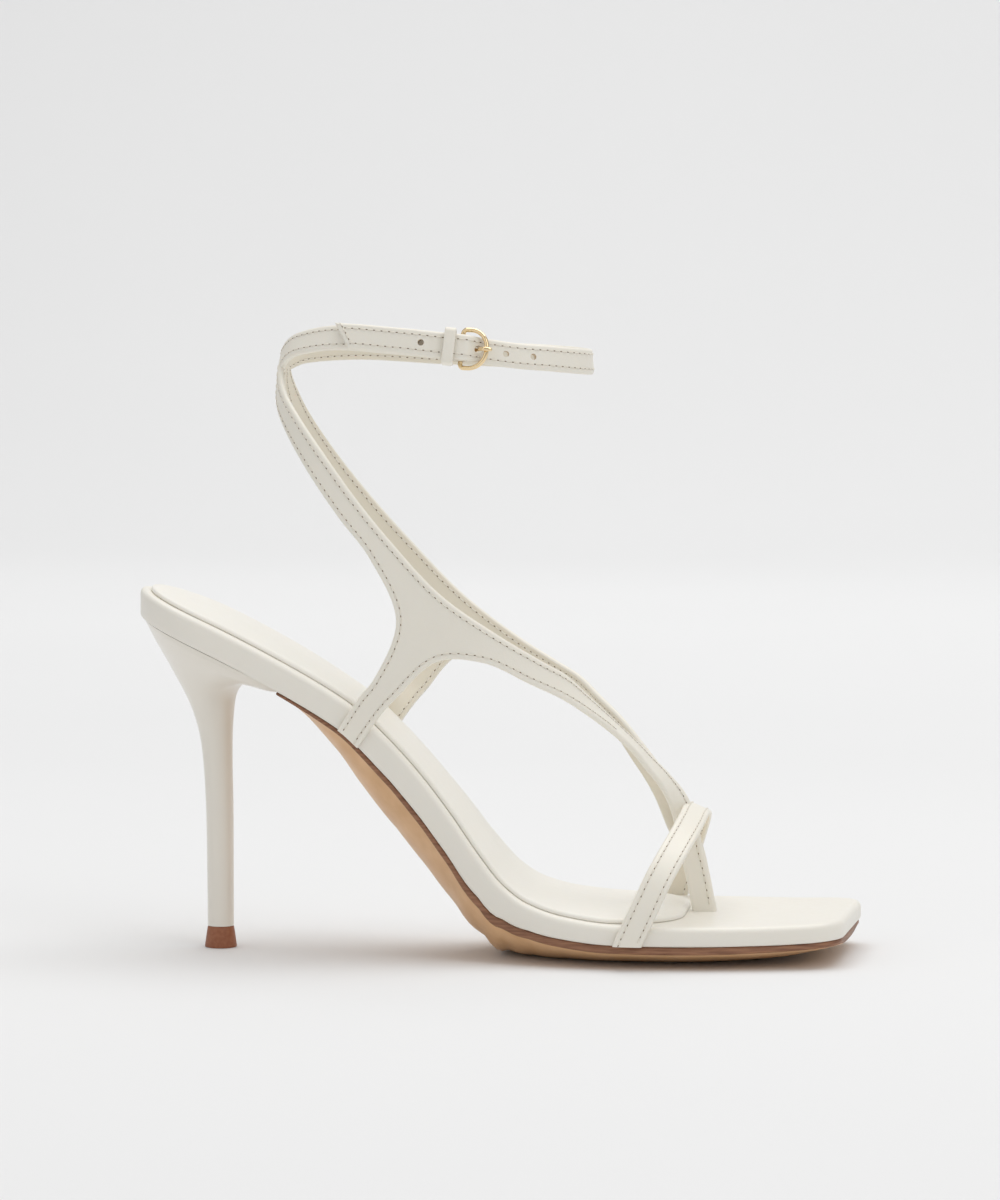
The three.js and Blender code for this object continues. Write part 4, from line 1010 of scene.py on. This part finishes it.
def stitch_line(obj, points, normals, outward, skip):
    """Stitches beside a stretch of a strap's rim, on the outer and the inner face."""
    mesh = obj.data
    tree = BVHTree.FromPolygons([v.co for v in mesh.vertices], [tuple(q.vertices) for q in mesh.polygons])
    reach = along_line(points)
    total = reach[-1] - sum(skip)
    number = int(total / STITCH_PITCH)
    if number < 1:
        return
    pitch = total / number

    def sample(at, sign):
        p, n, o = (np.array([np.interp(at, reach, a[:, k]) for k in range(3)])
                   for a in (points, normals, outward))
        guess = p - unit(o) * STITCH_INSET + unit(n) * sign * STRAP_THICKNESS / 2
        hit, normal, _, _ = tree.find_nearest(Vector(guess) * MM)
        return np.array(hit) / MM, np.array(normal)

    for sign in (1, -1):
        for i in range(number):
            at = skip[0] + (i + 0.5) * pitch
            if unstitched(sample(at, sign)[0]):
                continue
            path = []
            for share, lift in ((-0.5, -0.16), (-0.36, 0.09), (0, 0.14), (0.36, 0.09), (0.5, -0.16)):
                q, n = sample(at + share * STITCH_LENGTH, sign)
                path.append((q + n * lift, n))
            ring_thread(path)
            q, n = sample(at + pitch / 2, sign)
            dot(q, n, unit(sample(at + pitch / 2 + 0.1, sign)[0] - q))


def unstitched(q):
    """True below the platform's faces."""
    x, y, z = q
    if abs(y) > HALF_BALL / 3:
        return z < bottom_at(x) + 1.3
    return x > x_of(THONG[0][0]) - THONG_WIDTH and z < top_at(x) + 1.2


def ring_thread(path):
    sides = 6
    start_ = len(thread["points"])
    for i, (q, n) in enumerate(path):
        run = run_at(path, i)
        across = unit(np.cross(run, n))
        up = np.cross(across, run)
        thread["points"] += [q + THREAD_RADIUS * (across * c + 0.8 * up * s)
                             for c, s in circle(sides)]
    thread["faces"] += grid_faces(len(path), sides, start_, closed=True)


# A flat dark disc of painted shade where a needle hole lies, not a real hole
def dot(q, n, run):
    across = unit(np.cross(run, n))
    start_ = len(hole_shade_discs["points"])
    long_, wide = PINHOLE_HALVES
    hole_shade_discs["points"].append(q + n * 0.02)
    hole_shade_discs["points"] += [q + n * 0.035 + long_ * run * c + wide * across * s for c, s in circle(8)]
    hole_shade_discs["faces"] += [(start_, start_ + 1 + k, start_ + 1 + (k + 1) % 8) for k in range(8)]


def rim_stretch(line, start_point, end_point, through=None):
    """The stretch of a rim between the places nearest two points, the way that passes a third one."""
    points, normals, outward = line
    n = len(points)
    a, b = (int(np.argmin(norm(points - np.array(q), axis=1))) for q in (start_point, end_point))
    one = [(a + k) % n for k in range((b - a) % n + 1)]
    two = [(b + k) % n for k in range((a - b) % n + 1)]

    def gap(ids):
        return len(ids) if through is None else norm(points[ids] - through, axis=1).min()

    chosen = min((two, one), key=gap)
    return points[chosen], normals[chosen], outward[chosen]


def shortest(stretches):
    return min(stretches, key=lambda stretch: len(stretch[0]))


def side_rims(line, rows):
    """The two long rims of a ribbon."""
    rows = [row[:3] for row in rows]
    starts, ends = strip_edges(rows, 0), strip_edges(rows, len(rows) - 1)
    return [shortest(rim_stretch(line, a, b, through) for a in starts for b in ends)
            for through in strip_edges(rows, len(rows) // 2)]


# Straps

upper_parts = []
for name, side, tables in (("outer_strap", -1, OUTER_STRAP), ("inner_strap", 1, INNER_STRAP)):
    obj, line = forked_strap(name, side, tables)
    upper_parts.append(obj)
    middle, _ = strap_place(side, tables["fork"])
    tips = [edges_of(side, arm_rows(tables, key), middle)[-1] for key in ("arm", "front", "foot")]
    for i in range(3):
        stretch = shortest(rim_stretch(line, a, b) for a in tips[i] for b in tips[(i + 1) % 3])
        if i == 1:
            stitched = stretch[0][:, 0] < LOWER_STITCH_END
            stretch = tuple(a[stitched] for a in stretch)
        stitch_line(obj, *stretch, skip=(2.5, 2.5))

rows = []
for along, across, up, lean, tip in TOE_STRAP:
    x = x_of(along)
    reach = half_width(-1 if across < 0 else 1, x) + CLEARANCE + STRAP_THICKNESS / 2
    a, b = radians(lean), radians(tip)
    face = np.array([sin(b), -cos(a) * cos(b), sin(a) * cos(b)])
    rows.append((np.array([x, across * reach, level_at(x, up)]), face, TOE_STRAP_WIDTH))
toe_strap, line = ribbon("toe_strap", rows, steps=8)
upper_parts.append(toe_strap)
for stretch in side_rims(line, rows):
    stitch_line(toe_strap, *stretch, skip=(1.2, 1.2))


# Ankle strap: one strip from its fold around the buckle's bar to its free end

BACK_X = x_of(OUTER_STRAP["arm"][-1][0]) - BACK_LAP * STRAP_THICKNESS
BORE = WIRE / 2 + CLEARANCE
FOLD = BORE + FOLD_LAYER
OVER_BAR = FOLD + CLEARANCE + STRAP_THICKNESS / 2
LAYER_GAP = STRAP_THICKNESS + CLEARANCE
LAYERS = table("ahead lift", [
    (-6, LAYER_GAP),
    (-4, LAYER_GAP + 0.2),
    (-0.5, OVER_BAR),
    (0.6, OVER_BAR),
    (4.4, 0.62 * STRAP_THICKNESS),
    (7.6, 0.25 * STRAP_THICKNESS),
    (14, 0),
])


def loop_point(turn):
    a = radians(turn)
    return np.array([BACK_X + ANKLE_LENGTH / 2 * (1 - cos(a)), -ANKLE_WIDTH / 2 * sin(a),
                     SEAT_HEIGHT + ANKLE_HEIGHT * read(ANKLE_LOOP, "turn", "up", turn)])


def loop_frame(turn):
    middle = loop_point(turn)
    run = unit(loop_point(turn + 1) - loop_point(turn - 1))
    up = np.array([0.0, 0.0, 1.0])
    lean = radians(read(ANKLE_LOOP, "turn", "lean", turn))
    face = unit(np.cross(run, up)) * cos(lean) + up * sin(lean)
    face = unit(face - run * np.dot(face, run))
    return middle, run, face, unit(np.cross(face, run))


def turn_after(turn, distance):
    step = 0.25 * copysign(1, distance)
    left, here = abs(distance), turn
    while left > 0:
        length = norm(loop_point(here + step) - loop_point(here))
        here += step * min(1, left / length)
        left -= length
    return here


turns = np.arange(BUCKLE_TURN - 70, BUCKLE_TURN + 60, 0.5)
lengths = along_line(np.array([loop_point(t) for t in turns]))
lengths -= np.interp(BUCKLE_TURN, turns, lengths)


def long_end(turn):
    middle, run, face, across = loop_frame(turn)
    lift = read(LAYERS, "ahead", "lift", float(np.interp(turn, turns, lengths)))
    return middle + face * lift, run, face, across


def strap_row(place, turn, *skew):
    middle, _, face, _ = place(turn)
    return (middle, face, ANKLE_STRAP_WIDTH, *skew)


OUTER_START = BUCKLE_TURN - 324
rows = [strap_row(loop_frame, turn) for turn in np.arange(BUCKLE_TURN, OUTER_START + 4, -4)]
rows += [strap_row(long_end, turn + 360) for turn in np.arange(OUTER_START, TAIL_END_TURN - 355, -1.5)]
rows.append(strap_row(long_end, TAIL_END_TURN, TAIL_SKEW))
ankle, line = ribbon("ankle_strap", rows, steps=3)
for stretch in side_rims(line, rows):
    stitch_line(ankle, *stretch, skip=(3.5, 1.2))


def placed(obj, frame_):
    """Moves a piece from the buckle's own axes, run, width and outward, to its place."""
    middle, run, face, across = frame_
    for v in obj.data.vertices:
        c = np.array(v.co) / MM
        v.co = Vector((middle + run * c[0] + across * c[1] + face * c[2]) * MM)
    obj.data.update()
    return obj


hole_turn = turn_after(BUCKLE_TURN, HOLE_AHEAD)
for k in range(-2, 3):
    place = long_end(turn_after(hole_turn, k * HOLE_PITCH))
    depth = STRAP_THICKNESS + CLEARANCE if k < 0 else HOLE_DEPTH * STRAP_THICKNESS
    radius = (PRONG_HOLE if k == 0 else HOLE_DIAMETER) / 2
    rings = [[(radius * c, radius * s, z) for c, s in circle(40)] for z in (-depth / 2, depth / 2)]
    cut_with(ankle, placed(lofted("hole", rings, CORE_MAT, sharp=40), place))
ankle.data.set_sharp_from_angle(angle=radians(50))
upper_parts.append(ankle)

# The fold around the bar, in two halves beside the prong
bar = loop_frame(BUCKLE_TURN)
for sign in (-1, 1):
    near, far = PRONG_WIDTH / 2 + CLEARANCE, ANKLE_STRAP_WIDTH / 2
    profile = ((BORE, near), (FOLD - 0.2, near), (FOLD, near + 0.2), (FOLD, far - 0.3), (FOLD - 0.3, far),
               (BORE, far))
    rings = [[(radius * s, sign * y, radius * c) for c, s in circle(BAR_SIDES)] for radius, y in profile]
    fold = lofted("fold", rings, LINING_MAT, hoop=True, inside_out=sign > 0, sharp=50)
    upper_parts.append(placed(fold, bar))


def below_underside(first, last, wide=60.0, deep=30.0):
    """A block whose top follows the platform's underside between two places along the shoe."""
    rings = [[(x, y, bottom_at(x) - drop) for y, drop in ((-wide, 0), (wide, 0), (wide, deep), (-wide, deep))]
             for x in np.linspace(first, last, 24)]
    return lofted("below", rings, CORE_MAT, smooth=False)


for piece, first, last in ((upper_parts[0], 20, 75), (upper_parts[1], 20, 75), (toe_strap, 105, 155)):
    cut_with(piece, below_underside(first, last))
    piece.data.set_sharp_from_angle(angle=radians(50))

upper = joined("upper_straps", upper_parts)
dress(upper, "upper", slot_name="straps")

stitches = make("stitches", thread["points"], thread["faces"], THREAD_MAT)
dress(stitches, slot_name="straps")
# The needle holes as discs of painted shade
needle_hole_shades = make("needle_hole_shades", hole_shade_discs["points"], hole_shade_discs["faces"], NEEDLE_SHADE_MAT)
dress(needle_hole_shades, slot_name="straps")


# Buckle, prong and keeper

def tube(name, path, radius, out, closed=True, sides=24, squash=1.0):
    """A gold wire along a path; out gives the way its section's height lies."""
    path = [np.array(q, float) for q in path]
    n = len(path)
    radii = radius if isinstance(radius, list) else [radius] * n
    rings = []
    for i, q in enumerate(path):
        before = path[i - 1] if closed or i else path[0]
        after_ = path[(i + 1) % n] if closed or i < n - 1 else path[-1]
        run = unit(after_ - before)
        across = unit(np.cross(run, out))
        up = np.cross(across, run)
        rings.append([q + radii[i] * (across * c + squash * up * s) for c, s in circle(sides)])
    return lofted(name, rings, GOLD_MAT, hoop=closed)


FRONT_RADIUS = FRAME_FRONT_CORNER - WIRE / 2
REAR_RADIUS = FRAME_REAR_CORNER - WIRE / 2
crossing_height = (ANKLE_STRAP_WIDTH + WIRE) / 2 - (FRAME_HEIGHT / 2 - FRAME_FRONT_CORNER)
crossing = FRAME_LENGTH - WIRE - FRONT_RADIUS + sqrt(FRONT_RADIUS**2 - crossing_height**2)
over_strap = read(LAYERS, "ahead", "lift", crossing) + (STRAP_THICKNESS + WIRE) / 2 + CLEARANCE
FRONT_LIFT = over_strap * (FRAME_LENGTH - WIRE) / crossing
tip_angle = atan2(FRONT_LIFT, FRAME_LENGTH - WIRE)
front_x, half_high = FRAME_LENGTH - WIRE - FRONT_RADIUS, (FRAME_HEIGHT - WIRE) / 2
flat_path = corner_path([(front_x, half_high - FRONT_RADIUS, FRONT_RADIUS, 0),
                         (REAR_RADIUS, half_high - REAR_RADIUS, REAR_RADIUS, 90),
                         (REAR_RADIUS, REAR_RADIUS - half_high, REAR_RADIUS, 180),
                         (front_x, FRONT_RADIUS - half_high, FRONT_RADIUS, 270)], 16)
path = [(x * cos(tip_angle), y, x * sin(tip_angle)) for x, y in flat_path]
buckle = tube("buckle_wire", path, WIRE / 2, (-sin(tip_angle), 0, cos(tip_angle)))
dress(placed(buckle, bar), "buckle_frame", slot_name="buckle")

over = FRONT_LIFT + WIRE / 2 + CLEARANCE + PRONG_THICKNESS / 2
rough_path = [(BORE + 0.3, 0), (HOLE_AHEAD - 1.6, 0.1), (HOLE_AHEAD - 0.5, 0.35), (HOLE_AHEAD, 1.1),
              (HOLE_AHEAD + 0.1, 2.2), (HOLE_AHEAD + 0.5, 3.2), (HOLE_AHEAD + 1.6, over - 0.1),
              (FRAME_LENGTH - WIRE + 0.9, over)]
path = [(x, 0, z) for x, z in curve(rough_path, np.linspace(0, 7, PRONG_STEPS + 1))]
radii = [PRONG_WIDTH / 2 * sqrt(1 - (max(0, i - PRONG_STEPS + 3) / 3.3) ** 2)
         for i in range(PRONG_STEPS + 1)]
pin = tube("prong_pin", path, radii, (-0.02, 0, 1), closed=False, sides=20,
           squash=PRONG_THICKNESS / PRONG_WIDTH)
eye_radius = BORE + EYE_WIRE
eye_path = [(eye_radius * s, 0, eye_radius * c) for c, s in circle(BAR_SIDES)]
eye = tube("prong_eye", eye_path, EYE_WIRE, (0, 1, 0), squash=PRONG_WIDTH / 2 / EYE_WIRE, sides=16)
prong = joined("prong", [pin, eye])
dress(placed(prong, bar), "buckle_prong", slot_name="buckle")

corner, edge = KEEPER_CORNER, KEEPER_EDGE
ahead = float(np.interp(KEEPER_TURN, turns, lengths)) + KEEPER_WIDTH / 2
high = read(LAYERS, "ahead", "lift", ahead) + (STRAP_THICKNESS + KEEPER_WALL) / 2 + 1.5 * CLEARANCE - corner
low = corner - (STRAP_THICKNESS + KEEPER_WALL) / 2 - CLEARANCE
wide = (ANKLE_STRAP_WIDTH + 3 * CLEARANCE + KEEPER_WALL) / 2 - corner
path = corner_path([(wide, high, corner, 0), (-wide, high, corner, 90), (-wide, low, corner, 180),
                    (wide, low, corner, 270)], 8)
run, rise = KEEPER_WIDTH / 2 - edge, KEEPER_WALL / 2 - edge
profile = corner_path([(run, rise, edge, 0), (-run, rise, edge, 90), (-run, -rise, edge, 180),
                       (run, -rise, edge, 270)], 4)
rings = []
for i, (y, z) in enumerate(path):
    ty, tz = unit(np.subtract(path[(i + 1) % len(path)], path[i - 1]))
    rings.append([(x, y + tz * out, z - ty * out) for x, out in profile])
keeper = lofted("keeper", rings, STRAP_MAT, hoop=True, inside_out=True)
dress(placed(keeper, loop_frame(KEEPER_TURN)), "keeper_loop", slot_name="keeper")


# Studio

def backdrop():
    """A floor that sweeps up behind the shoe."""
    depth, bend, rise, wide = 1.9, 1.2, 4.0, 6.0
    line = [(-3.2, 0.0), (depth, 0.0)]
    line += [(depth + bend * sin(a), bend - bend * cos(a))
             for a in np.linspace(0.08, pi / 2, 20)]
    line.append((depth + bend, rise))
    points = [(x * 1000, y * 1000, z * 1000) for y, z in line for x in (-wide, wide)]
    grey = grained("studio_floor", (0.80, 0.80, 0.80), 0.9, shades=(3, 1, (0.800,) * 3, (0.805,) * 3))
    return make("studio_sweep", points, grid_faces(len(line), 2), grey)


backdrop()


def lamp(name, place, target, size, power):
    data = bpy.data.lights.new(name, "AREA")
    data.shape = "RECTANGLE"
    data.size, data.size_y = size
    data.energy = power
    obj = linked(name, data)
    obj.location = place
    obj.rotation_euler = (Vector(target) - Vector(place)).to_track_quat("-Z", "Y").to_euler()


centre = (0.085, 0.0, 0.09)
lamp("top_light", (0.25, 0.35, 2.0), centre, (2.2, 2.0), 29)
lamp("key_light", (1.5, -1.3, 1.5), centre, (1.4, 1.4), 7)
lamp("fill_light", (-1.7, -1.6, 1.0), centre, (1.8, 1.4), 3.5)
lamp("wall_light", (0.1, 1.6, 1.4), (0.1, 3.1, 0.3), (3.0, 1.2), 10.5)

world = bpy.context.scene.world or bpy.data.worlds.new("studio")
bpy.context.scene.world = world
world.use_nodes = True
background = world.node_tree.nodes.get("Background") or world.node_tree.nodes.new("ShaderNodeBackground")
background.inputs["Color"].default_value = (1.0, 1.0, 1.0, 1)
background.inputs["Strength"].default_value = 0.50
bpy.context.scene.view_settings.view_transform = "Standard"

AZIMUTH, ELEVATION, DISTANCE = radians(6), radians(4), 1.6
TARGET = Vector((0.08588, 0.0, 0.10696))
back = Vector((sin(AZIMUTH) * cos(ELEVATION), -cos(AZIMUTH) * cos(ELEVATION),
               sin(ELEVATION)))
data = bpy.data.cameras.new("camera")
data.sensor_fit = "VERTICAL"
data.sensor_height = 36
data.lens = 158.4
camera = linked("camera", data)
camera.location = TARGET + back * DISTANCE
camera.rotation_euler = (-back).to_track_quat("-Z", "Y").to_euler()
bpy.context.scene.camera = camera
